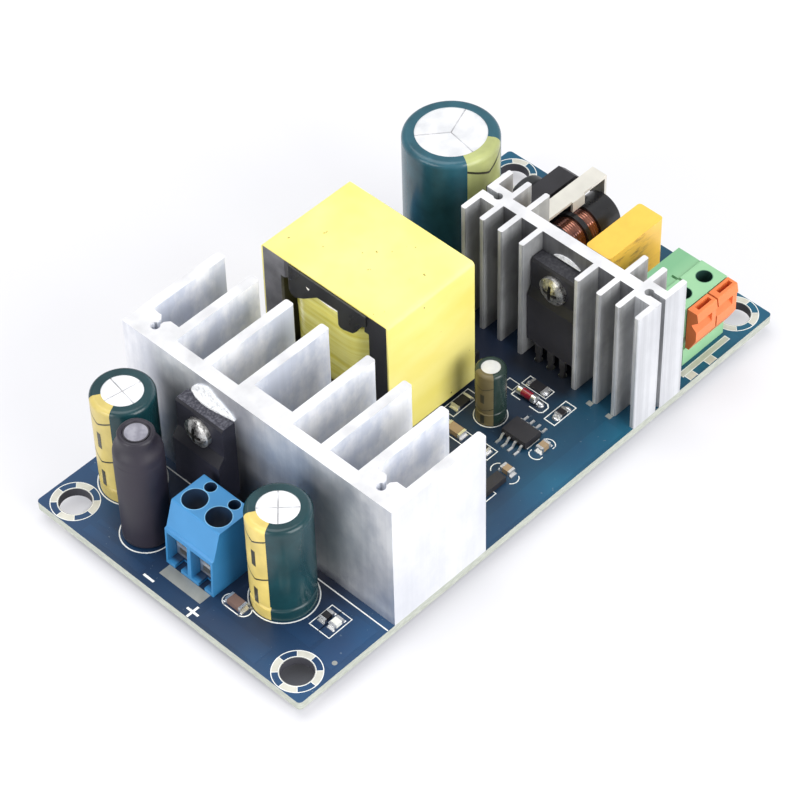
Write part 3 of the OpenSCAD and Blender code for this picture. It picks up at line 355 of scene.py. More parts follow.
COPPER = [
    (-46.0, -27.4, -36.2, -22.9), (-45.2, -22.2, -36.2, -6.6), (-52.8, -18.4, -49.2, -6.2),
    (-52.6, 6.4, -51.0, 19.0), (-43.4, 14.4, -36.6, 27.6), (-50.0, 6.6, -49.2, 18.6),
    (-13.0, -27.9, 18.0, -24.2), (2.8, -14.4, 4.0, -10.0), (-3.6, -12.0, -1.6, -4.6),
    (31.4, -28.0, 46.0, -26.4), (45.8, -19.0, 47.2, -9.6), (14.0, 8.4, 20.0, 27.6)
]
printed("board_copper_top", [rectangle(*corners) for corners in COPPER],
        solder_mask("mask_over_copper", 1.13), thick=0.02)
pads = surface("tinned_pads", (0.62, 0.6, 0.52), 0.35, 0.7, patch=0.15, grain_scale=900)
for name, inner, outer, low, thick in (("hole_rings_top", 2.62, 2.7, BOARD_TOP, 0.015),
                                       ("hole_rings_foot", 2.65, 4.0, -0.02, 0.02)):
    rings = [quad for hole in HOLES for quad in arc(*hole, inner, outer)]
    printed(name, rings, pads, low=low, thick=thick)

# %% [markdown]
# White ink is pressed over the mask through a fine screen, to show where each part goes. It
# outlines the chips, rings the capacitors, marks the screw holes, and shows the plus and the minus
# of the output. Tables of lines, boxes and arcs are easier to read here than one long drawing.

# %% Silkscreen


def stroke(x0, y0, x1, y1, width):
    length = math.hypot(x1 - x0, y1 - y0)
    nx, ny = -(y1 - y0) / length * width / 2, (x1 - x0) / length * width / 2
    return [(x0 + nx, y0 + ny), (x0 - nx, y0 - ny), (x1 - nx, y1 - ny), (x1 + nx, y1 + ny)]


def box_strokes(x0, y0, x1, y1, width):
    h = width / 2
    return [rectangle(x0 - h, y0 - h, x1 + h, y0 + h), rectangle(x0 - h, y1 - h, x1 + h, y1 + h),
            rectangle(x0 - h, y0 + h, x0 + h, y1 - h), rectangle(x1 - h, y0 + h, x1 + h, y1 - h)]


def disc(cx, cy, radius, count=24):
    turns = [2 * math.pi * k / count for k in range(count)]
    return [(cx + radius * math.cos(a), cy + radius * math.sin(a)) for a in turns]


LIP, PAD_EDGE, SPOKE = 2.82, 3.8, 0.8
INK_ARCS = [
    (-46.12, 11.51, 4.14, 4.34), (-40.7, -12.45, 5.3, 5.5), (-40.4, 20.85, 5.3, 5.5),
    (6.78, -10.25, 2.62, 2.78), (30.0, 19.8, 8.15, 8.38), (-46.82, -7.3, 1.15, 1.32, 0, 180),
    (-46.82, -10.1, 1.15, 1.32, 180, 360), (8.0, -21.0, 1.2, 1.36, -62, 62),
    (5.7, -21.0, 1.2, 1.36, 118, 242), (-0.75, -18.85, 1.15, 1.3, 30, 150),
    (-0.75, -21.45, 1.15, 1.3, 210, 330)
]
INK_BOXES = [
    (-42.0, -20.95, -37.2, -19.0, 0.15), (-42.0, -23.1, -37.2, -20.95, 0.15),
    (2.5, -6.3, 8.4, -3.9, 0.14), (-0.9, -11.4, 1.6, -6.3, 0.14), (-0.6, -16.3, 1.8, -12.4, 0.14),
    (11.8, -19.1, 16.85, -16.95, 0.16), (15.05, -14.3, 17.1, -9.25, 0.12),
    (5.35, -19.27, 8.05, -18.75, 0.12), (12.9, -9.2, 14.6, -7.15, 0.12),
    (33.4, 12.4, 49.9, 16.6, 0.15), (35.0, -9.6, 49.0, -3.7, 0.15)
]
INK_BARS = [
    (-52.4, 3.6, -52.0, 5.8), (-53.4, -5.0, -51.0, -4.6), (-52.4, -6.0, -52.0, -5.0),
    (-52.4, -4.6, -52.0, -3.6), (-48.15, -10.4, -47.98, -7.0), (-45.67, -10.4, -45.5, -7.0),
    (8.0, -22.2, 8.5, -22.06), (8.0, -19.94, 8.5, -19.8), (5.2, -22.2, 5.7, -22.06),
    (5.2, -19.94, 5.7, -19.8), (-8.2, -19.45, -5.5, -19.31), (-8.2, -22.0, -4.6, -21.84),
    (-4.74, -21.84, -4.6, -21.3), (-1.8, -19.45, -1.2, -19.31), (33.2, -26.12, 44.7, -25.98),
    (44.56, -26.95, 44.7, -26.12), (33.2, -27.11, 44.7, -26.97), (33.5, -28.4, 33.64, -27.1),
    (35.2, -28.4, 35.34, -27.1), (38.1, -28.4, 38.24, -27.1), (39.85, -28.4, 39.99, -27.1),
    (-35.2, -28.4, -35.0, 27.4), (32.4, -10.2, 32.55, -3.4)
]
INK_STROKES = [
    (12.2, -9.65, 14.52, -9.65, 0.22), (14.5, -9.7, 14.45, -15.3, 0.13),
    (14.45, -15.3, 13.9, -15.92, 0.2), (13.9, -15.92, 12.6, -15.92, 0.2),
    (12.6, -15.92, 12.17, -15.4, 0.16), (12.17, -15.4, 12.17, -13.45, 0.16),
    (12.2, -11.5, 12.2, -9.65, 0.16)
]
white = [disc(-44.6, 7.75, 0.26, 14)]
for hole in HOLES:
    white += arc(*hole, PAD_EDGE, PAD_EDGE + 0.13) + arc(*hole, LIP - 0.1, LIP)
    for turn in range(0, 360, 45):
        white += arc(*hole, LIP, PAD_EDGE, turn - SPOKE, turn + SPOKE)
for row in INK_ARCS:
    white += arc(*row)
for row in INK_BOXES:
    white += box_strokes(*row)
white += [rectangle(*row) for row in INK_BARS] + [stroke(*row) for row in INK_STROKES]
ink = surface("screen_ink", (0.80, 0.81, 0.78), 0.6, patch=0.1, patch_scale=900, grain_scale=1800)
printed("silkscreen", white, ink)

# %% [markdown]
# Where the mask is left open, the copper is tinned. Large areas go dull grey in the hot air that
# levels the tin, and small ones stay cream. So two tins are used, each a little lower than the ink.

# %% Bare tin
TIN = [(-50.45, -4.5, -48.25, 4.3), (18.6, -20.5, 19.5, -19.5), (18.6, -24.5, 19.5, -23.5)]
SCREENED = [(33.64, -28.35, 35.2, -27.11), (38.24, -28.35, 39.85, -27.11),
            (33.2, -26.97, 44.56, -26.12)]
dull_tin = surface("bare_tin", (0.30, 0.31, 0.29), 0.45, 0.3, patch=0.12, patch_scale=400,
                   grain_scale=900)
printed("bare_tin_areas", [rectangle(*corners) for corners in TIN] + [disc(-44.7, -26.9, 0.42)],
        dull_tin, thick=0.025)
cream = surface("screened_tin", (0.58, 0.57, 0.50), 0.45, 0.2, patch=0.12, patch_scale=400,
                grain_scale=900)
segments = [rectangle(*corners) for corners in SCREENED]
for hole in HOLES:
    for turn in range(0, 360, 90):
        segments += arc(*hole, LIP, PAD_EDGE, turn, turn + 45)
printed("tinned_segments", segments, cream, thick=0.022)

# %% [markdown]
# Both heatsinks are sawn from aluminium that was pushed hot through a die. The push leaves fine
# lines along the bar, which is upright here, and the saw leaves the ends brighter. One material
# reads which way a face looks, so ends, sides and the faces between fins differ without new parts.
# It also paints light and shade: painted shade on the faces between the fins of the input
# heatsink and on its web behind the transistor, and a painted dark reflection of the rectifier
# on the front of the output heatsink.

# %% Heatsinks
SINK_END_Y = -27.5
INPUT_WEB_X, INPUT_WEB_ENDS = 23.0, (-24.4, 3.8)
OUTPUT_FRONT_X, RECTIFIER_Y = -30, 8.2


def aluminium(name, line_depth, dull, pale, mirror, between):
    """Extruded metal: cloudy sides with upright die lines, and brighter sawn ends.

    between holds the dull and the pale tone of the faces between two fins; on the input heatsink
    these tones are painted shade."""
    n = Nodes(name)
    cloud = n.noise(110, 5, (1, 1, 0.7), 0.62)
    lines = n.noise(700, 3, (1, 1, 0.015), 0.65)
    px, py, pz = n.split()
    way_x, way_y, way_z = n.split(n.facing)
    sawn = n.maths("GREATER_THAN", way_z, 0.5)
    front = n.maths("LESS_THAN", way_x, -0.5)
    near = n.maths("LESS_THAN", way_y, -0.5)
    end = n.all(near, n.below(py, SINK_END_Y))
    web = n.all(front, n.above(px, INPUT_WEB_X), n.inside(py, *INPUT_WEB_ENDS))
    side = n.mix(n.ramp(cloud, 0.36, 0.62), dull, pale)
    # Painted shade: the faces between two fins take the between tones, much darker on the input
    # heatsink.
    inner = n.maths("SUBTRACT", near, end)
    side = n.mix(inner, side, n.mix(n.ramp(cloud, 0.42, 0.58), *between))
    side = n.mix(n.ramp(lines, 0.42, 0.60, 0.0, line_depth), side, shade(dull, 0.5))
    side = n.mix(end, side, n.mix(0.6, side, (0.50, 0.51, 0.54)))
    # Painted shade: the web behind the transistor, between its two long fins, is almost black.
    side = n.mix(n.all(web, 0.82), side, (0.06, 0.06, 0.068))
    # Painted reflection: the front of the output heatsink darkens beside the rectifier, a painted
    # dark reflection of its body.
    beside = n.slope(n.away(py, RECTIFIER_Y), 11.2, 6.0)
    rectifier_reflection = n.all(front, n.below(px, OUTPUT_FRONT_X), beside, n.slope(pz, 22.5, 16.5))
    side = n.mix(n.all(rectifier_reflection, 0.8), side, (0.018, 0.017, 0.028))
    worn = n.mix(n.ramp(n.noise(160, 4), 0.3, 0.62), (0.54, 0.54, 0.555), (0.76, 0.76, 0.77))
    n.set(Base_Color=n.mix(sawn, side, worn), Metallic=n.mix_value(front, 0.15, mirror))
    n.set(Roughness=n.mix_value(sawn, n.spread(cloud, 0.34, 0.5), 0.55))
    n.bump(lines, 0.3, 0.04)
    n.bump(n.noise(350, 3), 0.15, 0.05)
    return n


dress(aluminium("cloudy_aluminium", 0.10, (0.70, 0.72, 0.78), (0.96, 0.96, 0.97), 0.88,
                ((0.66, 0.70, 0.80), (0.97, 0.975, 1.0))), "output_heatsink")
dress(aluminium("lined_aluminium", 0.6, (0.54, 0.55, 0.57), (0.82, 0.83, 0.85), 0.5,
                ((0.25, 0.252, 0.255), (0.44, 0.445, 0.45))), "input_heatsink")

# %% [markdown]
# Pins and leads are tinned so that they solder well. Those under the big transistor stand in its
# shade and look almost black, so they get a darker tin of their own in place of another lamp.

# %% Leads and solder
bright = surface("tinned_metal", (0.80, 0.80, 0.80), 0.28, 0.9, patch=0.08, grain_scale=1500)
dress(bright, "heatsink_pins", "transformer_pins", "capacitor_leads", "rectifier_leads",
      "component_leads")
# Painted shade: a near black tin for the leads that stand in the transistor's shade.
dress(surface("painted_shade_tin", (0.10, 0.10, 0.11), 0.4, 0.6, patch=0.2, patch_scale=900),
      "transistor_leads")
solder = surface("solder", (0.70, 0.71, 0.73), 0.3, 0.85, patch=0.12, patch_scale=700,
                 grain_scale=1200, grain_mm=0.04)
dress(solder, "solder_joints")

# %% [markdown]
# A ferrite core is pressed and fired like pottery, so it is matt and slightly pitted. The rod of
# the choke is ground, and shows a dark rim where the sleeve closes round it. Noise gives the pits,
# and a distance from the rod's middle gives the rim.

# %% Ferrite
CHOKE, CHOKE_ROD_RADIUS = (-46.05, 11.5), 1.78
CORE_LEG_X, CORE_LEG_Y = -8.3, 16
ferrite = Nodes("ferrite")
px, py, _ = ferrite.split()
leg = ferrite.all(ferrite.above(py, CORE_LEG_Y), ferrite.below(px, CORE_LEG_X))
pits = ferrite.spread(ferrite.noise(320, 4))
grey = ferrite.mix(pits, (0.095, 0.093, 0.103), (0.185, 0.183, 0.195))
ferrite.set(Base_Color=ferrite.mix(leg, (0.013, 0.013, 0.017), grey))
ferrite.set(Roughness=ferrite.ramp(leg, 0, 1, 0.42, 0.62))
ferrite.bump(ferrite.noise(2200, 2), 0.4, 0.05)
dress(ferrite, "transformer_core_upper", "transformer_core_lower")
rod = Nodes("ground_ferrite")
px, py, _ = rod.split()
from_axis = rod.reach(rod.offset(px, CHOKE[0]), rod.offset(py, CHOKE[1]))
rim = rod.above(from_axis, CHOKE_ROD_RADIUS)
pits = rod.ramp(rod.noise(900, 3), 0.35, 0.65)
ground = rod.mix(pits, (0.20, 0.195, 0.235), (0.30, 0.295, 0.34))
rod.set(Base_Color=rod.mix(rim, ground, (0.022, 0.020, 0.028)), Roughness=0.5)
rod.bump(rod.noise(2500, 2), 0.4, 0.03)
dress(rod, "choke_rod", "filter_rod")

# %% [markdown]
# Yellow polyester film is wound over the core, and over the coil inside it. The film is thin and
# glossy, and shows faint ripples and specks. Real layers would cost many faces for little, so
# noise stretched along the turns stands for them. The tape on the coil has a weak glow, painted
# light that brightens it where it stands in the shade of the core.

# %% Tape
tape = Nodes("core_tape")
ripple = tape.noise(90, 3, (1, 1, 2.2))
specks = tape.maths("GREATER_THAN", tape.noise(760, 2), 0.745)
film = tape.mix(tape.spread(ripple), (0.88, 0.76, 0.18), (0.93, 0.83, 0.28))
tape.set(Base_Color=tape.mix(specks, film, (0.35, 0.27, 0.05)))
tape.set(Roughness=tape.spread(ripple, 0.32, 0.45), Coat_Weight=0.3, Coat_Roughness=0.2)
tape.bump(ripple, 0.35, 0.25)
dress(tape, "transformer_tape")
amber = Nodes("winding_tape")
bands = amber.noise(300, 3, (0.12, 0.12, 3.0))
layers = amber.ramp(bands, 0.35, 0.65)
amber.set(Base_Color=amber.mix(layers, (0.78, 0.69, 0.11), (0.98, 0.93, 0.34)))
amber.set(Roughness=0.25, Coat_Weight=0.5, Coat_Roughness=0.1)
# Painted light: a weak glow brightens the coil's tape where the core shades it.
amber.set(Emission_Color=(1.0, 0.92, 0.2, 1), Emission_Strength=0.07)
amber.bump(bands, 0.5, 0.3)

# %% [markdown]
# The coil isn't quite round: wire and tape fill the window of the core, square with round corners,
# and swell a little with height. Rings of points joined one to the next give that shape in one
# mesh, in place of the plainer ring of the frame. Two risers carry the tape up over its top.

# %% Winding
MIDDLE = (0.6, 9.6)
TUBE = 6.95
COIL_HALF_X, COIL_HALF_Y, COIL_CORNER = 9.45, 9.25, 5.2
COIL_FOOT, COIL_TOP, RISER_TOP = 7.55, 22.8, 25.25
RISER = [(6.9, -5.4), (9.44, -5.0), (9.44, 4.6), (6.9, 5.2)]
SWELL = ((COIL_FOOT, 0.96), (8.3, 0.975), (11.0, 0.98), (14.5, 0.985), (18.0, 0.995),
         (21.0, 1.0), (22.4, 1.0), (COIL_TOP, 0.985))


def round_rectangle(cx, cy, half_x, half_y, corner, steps=8):
    points = []
    for quarter, (sx, sy) in enumerate(((1, 1), (-1, 1), (-1, -1), (1, -1))):
        for k in range(steps + 1):
            a = math.radians(90 * quarter + 90 * k / steps)
            points.append((cx + sx * (half_x - corner) + corner * math.cos(a),
                           cy + sy * (half_y - corner) + corner * math.sin(a)))
    return points


def coil_outline(swell):
    half_x, half_y, corner = (swell * v for v in (COIL_HALF_X, COIL_HALF_Y, COIL_CORNER))
    return round_rectangle(*MIDDLE, half_x, half_y, corner)


def round_ring(radius, height):
    """A round ring with as many points as the coil's outline, in the same directions."""
    turns = [math.atan2(y - MIDDLE[1], x - MIDDLE[0]) for x, y in coil_outline(1)]
    return [(MIDDLE[0] + radius * math.cos(a), MIDDLE[1] + radius * math.sin(a), height)
            for a in turns]


def loft(bm, rings):
    """Joins rings of points in millimetres, each to the next and the last to the first."""
    loops = [[bm.verts.new((x * MM, y * MM, z * MM)) for x, y, z in ring] for ring in rings]
    for a, b in zip(loops, loops[1:] + loops[:1]):
        bridge(bm, a, b)


bm = bmesh.new()
coil_rings = [[(x, y, height) for x, y in coil_outline(swell)] for height, swell in SWELL]
loft(bm, coil_rings + [round_ring(TUBE + 0.05, COIL_TOP), round_ring(TUBE + 0.05, COIL_FOOT)])
for side in (-1, 1):
    prism(bm, [(MIDDLE[0] - side * x, MIDDLE[1] + side * y) for x, y in RISER],
          COIL_TOP - 0.1, RISER_TOP)
turns = piece("winding_turns", bm, amber)
for polygon in turns.data.polygons:
    polygon.use_smooth = abs(polygon.normal.z) < 0.5 and polygon.center.z < COIL_TOP * MM
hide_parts("transformer_winding")

# %% [markdown]
# The bobbin is one moulding: a tube in the coil, a flange at each end of it, a plate over each end
# of the core, and rails that hold the pins. A plate is drawn as an outline in y and z, because its
# edge is what shows. A small bevel rounds the edges, which no real moulding has sharp.

# %% Bobbin


def end_plate(bm, outline, near, far, side):
    """A plate with its outline in (y, z) between two depths; side -1 is the back of the core."""
    rings = [[bm.verts.new(((MIDDLE[0] + side * x) * MM, (MIDDLE[1] + side * y) * MM, z * MM))
              for y, z in outline] for x in (near, far)]
    bm.faces.new(rings[0])
    bm.faces.new(rings[1][::-1])
    bridge(bm, *rings)


def soften(obj, width):
    """Rounds the edges a little, so that they catch the light."""
    edges = obj.modifiers.new("edges", "BEVEL")
    edges.width = width * MM
    edges.segments = 2
    edges.limit_method = "ANGLE"


BAND = [(7.4, 27.85), (7.4, 22.5), (7.0, 21.8), (6.0, 21.6), (4.2, 22.6), (1.2, 24.9),
        (-3.1, 25.05), (-3.15, 22.2), (-3.5, 21.8), (-4.2, 21.75), (-6.3, 22.4), (-7.0, 23.2),
        (-8.2, 25.1), (-9.1, 25.6), (-9.1, 27.85)]
TUBE_FOOT, TUBE_TOP, TUBE_WALL = 6.25, 24.05, 0.9
PLATE_OUT, PLATE_IN = -9.85, -9.46
FOLD_OUT, GLINT_OUT = -9.62, -9.89
BLOCKS = (  # half width, foot, top, outer and inner depth: upper rail, lower rail, pin rail
    (5.8, 25.3, 27.85, PLATE_IN, -7.05), (5.8, 2.45, 7.45, -11.3, -7.05),
    (11.4, 1.6, 4.8, -12.8, -9.8))
bm = bmesh.new()
loft(bm, [round_ring(TUBE, TUBE_FOOT), round_ring(TUBE, TUBE_TOP),
          round_ring(TUBE - TUBE_WALL, TUBE_TOP), round_ring(TUBE - TUBE_WALL, TUBE_FOOT)])
prism(bm, round_rectangle(*MIDDLE, 9.8, 9.3, 3.0), TUBE_FOOT, 7.45)
flange = rectangle(MIDDLE[0] - 6.5, MIDDLE[1] - 9.2, MIDDLE[0] + 6.5, MIDDLE[1] + 9.2)
prism(bm, flange, 22.85, TUBE_TOP)
for side in (1, -1):
    end_plate(bm, BAND, PLATE_OUT, PLATE_IN, side)
    for half, low, high, near, far in BLOCKS:
        end_plate(bm, rectangle(-half, low, half, high), near, far, side)
black = surface("black_moulding", (0.012, 0.012, 0.014), 0.3, patch=0.2, grain_scale=1800,
                coat=0.2)
shell = piece("bobbin_shell", bm, black)
soften(shell, 0.12)
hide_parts("transformer_bobbin")
dress(black, "filter_bobbin")

# %% [markdown]
# The end of the tape is folded at the top of the window in the plate. Its strip is pale and glows
# weakly, a painted highlight where the fold catches the light, and a painted glint shines beside
# it. They are two tiny plates with a weak glow: a lamp for them alone would light their neighbours
# too.

# %% Tape fold and painted glint
FOLD = [(1.25, 24.86), (0.6, 24.98), (-2.95, 24.98), (-3.1, 24.5), (-1.0, 24.35), (0.9, 24.62)]
GLINT = [(3.45, 25.78), (2.75, 25.62), (2.95, 25.3), (3.15, 25.42)]
folded = surface("folded_tape_highlight", (0.98, 0.90, 0.80), 0.3, patch=0.2, patch_scale=900, coat=0.3)
# Painted light: the pale fold and the glint beside it glow weakly, as painted highlights.
folded.set(Emission_Color=(1.0, 0.90, 0.75, 1), Emission_Strength=0.25)
bm = bmesh.new()
end_plate(bm, FOLD, FOLD_OUT, PLATE_IN, 1)
end_plate(bm, GLINT, GLINT_OUT, PLATE_OUT, 1)
piece("tape_fold_and_glint", bm, folded)

# %% [markdown]
# A capacitor is an aluminium can whose top is scored, so that it opens gently if pressure rises.
# The score lines are thin and shallow, so colour shows them better than cuts: they are painted
# darker, painted shade for their grooves. Each is the strip near a ray from the middle, found
# from the distance along the ray and across it.

# %% Capacitor cans
SLEEVE_GREEN = (0.006, 0.036, 0.043)
RAY_SHARE, RAY_HALF = 0.74, 0.09
CAPS = {  # middle, radius, height, film, stripe, stripe's direction and half width, score lines
    "bulk_capacitor": ((30.0, 19.8), 7.95, 25.4, (0.020, 0.082, 0.112), (0.37, 0.40, 0.16),
                       272, 30, (20, 140, 260)),
    # The two output capacitors are one part; their stripes differ only by painted light and shade,
    # the near one lighter.
    "far_output_capacitor": ((-40.4, 20.85), 5.1, 20.0, SLEEVE_GREEN, (0.55, 0.44, 0.13),
                             175, 29, (80, 170, 260, 350)),
    "near_output_capacitor": ((-40.7, -12.45), 5.1, 20.0, SLEEVE_GREEN, (0.64, 0.50, 0.14),
                              175, 28, (45, 135, 225, 315)),
    "bias_capacitor": ((6.8, -10.25), 2.5, 10.9, (0.018, 0.036, 0.030), (0.15, 0.12, 0.055),
                       190, 42, ()),
}


def can_material(name, centre, radius, rays):
    """Drawn aluminium, with the score lines of the vent painted darker than the top, as shade in
    their grooves.
    """
    n = Nodes(name)
    px, py, _ = n.split()
    ax, ay = n.offset(px, centre[0]), n.offset(py, centre[1])
    lines = 0.0
    for ray in rays:
        c, s = math.cos(math.radians(ray)), math.sin(math.radians(ray))
        along = n.maths("ADD", n.all(ax, c), n.all(ay, s))
        across = n.away(n.maths("SUBTRACT", n.all(ay, c), n.all(ax, s)))
        mark = n.all(n.inside(along, -0.1, radius * RAY_SHARE), n.below(across, RAY_HALF))
        lines = n.either(lines, mark)
    brushed = n.noise(420, 3)
    metal = n.mix(n.spread(brushed), (0.74, 0.75, 0.77), (0.88, 0.88, 0.89))
    faint = n.all(lines, n.ramp(n.noise(330, 2), 0.35, 0.6, 0.25, 1.0))
    # Painted shade: the score lines are darker than the top.
    n.set(Base_Color=n.mix(faint, metal, (0.34, 0.33, 0.34)), Metallic=0.5)
    n.set(Roughness=n.spread(brushed, 0.36, 0.48))
    n.bump(n.noise(1600, 2), 0.1, 0.02)
    return n


for cap, (centre, radius, *_, rays) in CAPS.items():
    dress(can_material(cap + "_metal", centre, radius, rays), cap + "_can")

# %% [markdown]
# A sleeve of printed film is shrunk over the can, and a light stripe marks the negative lead. The
# stripe is chosen by the angle round the can, so it runs over the rolled rim too, as real print
# does; a strip of faces would have to be bent over it.

# %% Capacitor sleeves


def sleeve_material(name, centre, film_color, stripe_color, middle, half):
    n = Nodes(name)
    px, py, _ = n.split()
    angle = n.maths("ARCTAN2", n.offset(py, centre[1]), n.offset(px, centre[0]))
    turn = n.maths("SUBTRACT", angle, math.radians(middle))
    away = n.maths("ABSOLUTE", n.maths("WRAP", turn, math.pi, -math.pi))
    stripe = n.maths("LESS_THAN", away, math.radians(half))
    cloud = n.spread(n.noise(260, 3))
    film = n.mix(cloud, shade(film_color, 0.8), shade(film_color, 1.25))
    gold = n.mix(cloud, shade(stripe_color, 0.85), shade(stripe_color, 1.15))
    n.set(Base_Color=n.mix(stripe, film, gold), Roughness=n.ramp(stripe, 0, 1, 0.26, 0.34))
    n.set(Coat_Weight=0.1, Coat_Roughness=0.1, Specular_IOR_Level=0.4)
    n.bump(n.noise(180, 3, (1, 1, 0.5)), 0.2, 0.12)
    return n


for cap, (centre, _, _, *look, _) in CAPS.items():
    dress(sleeve_material(cap + "_print", centre, *look), cap + "_sleeve")

# %% [markdown]
# Dark bars and chevrons repeat down each stripe. They are laid on as strips bent round the can, so
# they keep crisp edges where noise and angles would blur them.

# %% Bars on the sleeves


def wrapped(name, strips, centre, radius, finish):
    """Strips of (degrees round the can, low edge, high edge) in mm, laid on the can's side."""
    bm = bmesh.new()
    for strip in strips:
        columns = []
        for (a0, l0, h0), (a1, l1, h1) in zip(strip, strip[1:]):
            count = max(1, round(abs(a1 - a0) / 2.5))
            for k in range(count + 1):
                t = k / count
                angle = math.radians(a0 + (a1 - a0) * t)
                x, y = (c + radius * way(angle) for c, way in zip(centre, (math.cos, math.sin)))
                columns.append([bm.verts.new((x * MM, y * MM, h * MM))
                                for h in (l0 + (l1 - l0) * t, h0 + (h1 - h0) * t)])
        for a, b in zip(columns, columns[1:]):
            if (a[0].co - b[0].co).length > 1e-7:
                bm.faces.new((a[0], b[0], b[1], a[1]))
    return piece(name, bm, finish)


FIRST_BAR, PERIOD_SHARE, BAR_SHARE, GAP_SHARE = 2.6, 0.42, 0.40, 0.22
CHEVRON_DEEP, CHEVRON_THICK, INK_HEIGHT = 0.26, 0.06, 0.015
bar_ink = surface("sleeve_bars", (0.030, 0.030, 0.018), 0.3, patch=0.1)
for cap, (centre, radius, height, _, _, middle, half, _) in CAPS.items():
    period = height * PERIOD_SHARE
    tall, gap = period * BAR_SHARE, period * GAP_SHARE
    deep, thick = radius * CHEVRON_DEEP, radius * CHEVRON_THICK
    wide = 5 if radius > 3 else 8
    bars = []
    for k in range(2):
        low = BOARD_TOP + FIRST_BAR + k * period + (height - 20) * 0.25
        bars.append([(middle + turn, low, low + tall) for turn in (-wide, wide)])
        fold = low + tall + gap
        bars.append([(middle + turn, fold + drop, fold + drop + thick)
                     for turn, drop in ((-half, deep), (0, 0), (half, deep))])
    wrapped(cap + "_bars", bars, centre, radius + INK_HEIGHT, bar_ink)

# %% [markdown]
# The output choke is a ferrite rod wound with thick wire. Its black sleeve is shrunk on with hot
# air, so it follows the wire in soft waves and closes in round the end of the rod. A profile
# turned round an axis makes it, and a wave added to the radius keeps it from looking lathed.

# %% Output choke


def turned(name, centre, profile, finish, wobble, sides=64):
    """A shape turned round an upright axis from (radius, height) pairs in millimetres."""
    bm = bmesh.new()
    rings = []
    for r, z in profile:
        ring = []
        for k in range(sides):
            a = 2 * math.pi * k / sides
            wide = r + wobble(a, z)
            ring.append(bm.verts.new(((centre[0] + wide * math.cos(a)) * MM,
                                      (centre[1] + wide * math.sin(a)) * MM, z * MM)))
        rings.append(ring)
    stack(bm, rings)
    return piece(name, bm, finish, smooth=True)


def choke_wave(angle, height):
    soft = 0.5 + 0.5 * math.sin(2 * angle + 0.35 * height)
    return -0.05 * soft - 0.025 * (1 + math.sin(5 * angle - 0.8 * height)) * (height > 19)


shrink = Nodes("heat_shrink")
folds = shrink.noise(150, 3, (1, 1, 0.8))
shrink.set(Base_Color=shrink.mix(shrink.spread(folds), (0.010, 0.008, 0.016),
                                 (0.019, 0.015, 0.026)))
shrink.set(Roughness=shrink.spread(folds, 0.45, 0.6))
shrink.bump(shrink.noise(110, 2, (1, 1, 0.5)), 0.25, 0.15)
foot = [(3.7, 2.0), (3.82, 2.1), (3.87, 2.6)]
trunk = [(3.88, 2.8 + 0.16 * k) for k in range(110)]
neck = [(3.87, 20.5), (3.80, 20.85), (3.62, 21.25), (3.38, 21.7), (3.18, 22.15), (3.05, 22.7),
        (2.98, 23.2), (2.94, 23.7), (2.80, 24.0), (2.55, 24.15), (2.30, 24.1), (2.14, 23.95),
        (2.06, 23.7), (2.05, 21.5)]
shell = turned("choke_shrink", CHOKE, foot + trunk + neck, shrink,
               choke_wave)
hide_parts("choke_sleeve")

# %% [markdown]
# Power packages are moulded from dull epoxy round a chip and screwed to the heatsink. The mould
# leaves the top edge rougher and paler than the face. As with the heatsinks, one material reads
# the direction of a face, and no mesh is changed. The face is painted lighter towards its foot,
# painted light where the body stands in shade, and the sloped ledge is painted darker, painted
# shade in place of the light it catches.

# %% Power packages
MOULD_TOP = 19


def package(name, color, speckle):
    """Dull epoxy with a paler, rougher top edge, painted light low on the face and painted shade on
    the ledge.
    """
    n = Nodes(name)
    up = n.split(n.facing)[2]
    pz = n.split()[2]
    top_face = n.all(n.maths("GREATER_THAN", up, 0.9), n.above(pz, MOULD_TOP))
    ledge = n.all(n.maths("GREATER_THAN", up, 0.4), n.maths("LESS_THAN", up, 0.9))
    grains = n.mix(n.ramp(n.noise(2600, 3), 0.42, 0.66), shade(color, 1.2), speckle)
    broad = n.noise(300, 4)
    flat = n.mix(n.spread(broad), shade(color, 0.8), shade(color, 1.2))
    # Painted light: the face is twice as light towards its foot, where the body stands in shade.
    flat = n.mix(n.slope(pz, 9, 16), shade(color, 2.0), flat)
    # Painted shade: the sloped ledge is half as light, so that it doesn't shine.
    flat = n.mix(ledge, flat, shade(color, 0.5))
    n.set(Base_Color=n.mix(top_face, flat, grains), Roughness=n.spread(broad, 0.42, 0.58))
    n.set(Specular_IOR_Level=0.35)
    n.bump(n.noise(3000, 2), 0.35, 0.03)
    return n


dress(package("rectifier_epoxy", (0.019, 0.019, 0.029), (0.09, 0.09, 0.11)), "rectifier_body")
dress(package("transistor_epoxy", (0.019, 0.019, 0.024), (0.048, 0.048, 0.055)),
      "transistor_body")
epoxy = surface("moulded_epoxy", (0.017, 0.016, 0.020), 0.55, patch=0.25, patch_scale=350,
                grain=0.35, grain_scale=3000, grain_mm=0.03)
dress(epoxy, "optocoupler", "control_chip", "bridge_rectifier", "bias_diode")

# %% [markdown]
# White paste between package and metal carries the heat, and a nickel plated screw holds both. The
# cross recess of the screw is real in the frame; the material only dulls it, since dirt and
# shadow gather there, and gives the worn nickel its broken mirror.

# %% Paste and screws
paste = Nodes("heat_paste")
streaks = paste.ramp(paste.noise(1500, 4, rough=0.7), 0.30, 0.50)
paste.set(Base_Color=paste.mix(streaks, (0.46, 0.47, 0.49), (0.88, 0.89, 0.90)), Roughness=0.5)
paste.bump(paste.noise(900, 3), 0.8, 0.2)
dress(paste, "rectifier_paste", "transistor_paste")
RECESS_LONG, RECESS_WIDE = 1.46, 0.31
RECTIFIER_SCREW, TRANSISTOR_SCREW = (8.4, 18.9), (-10.3, 18.6)


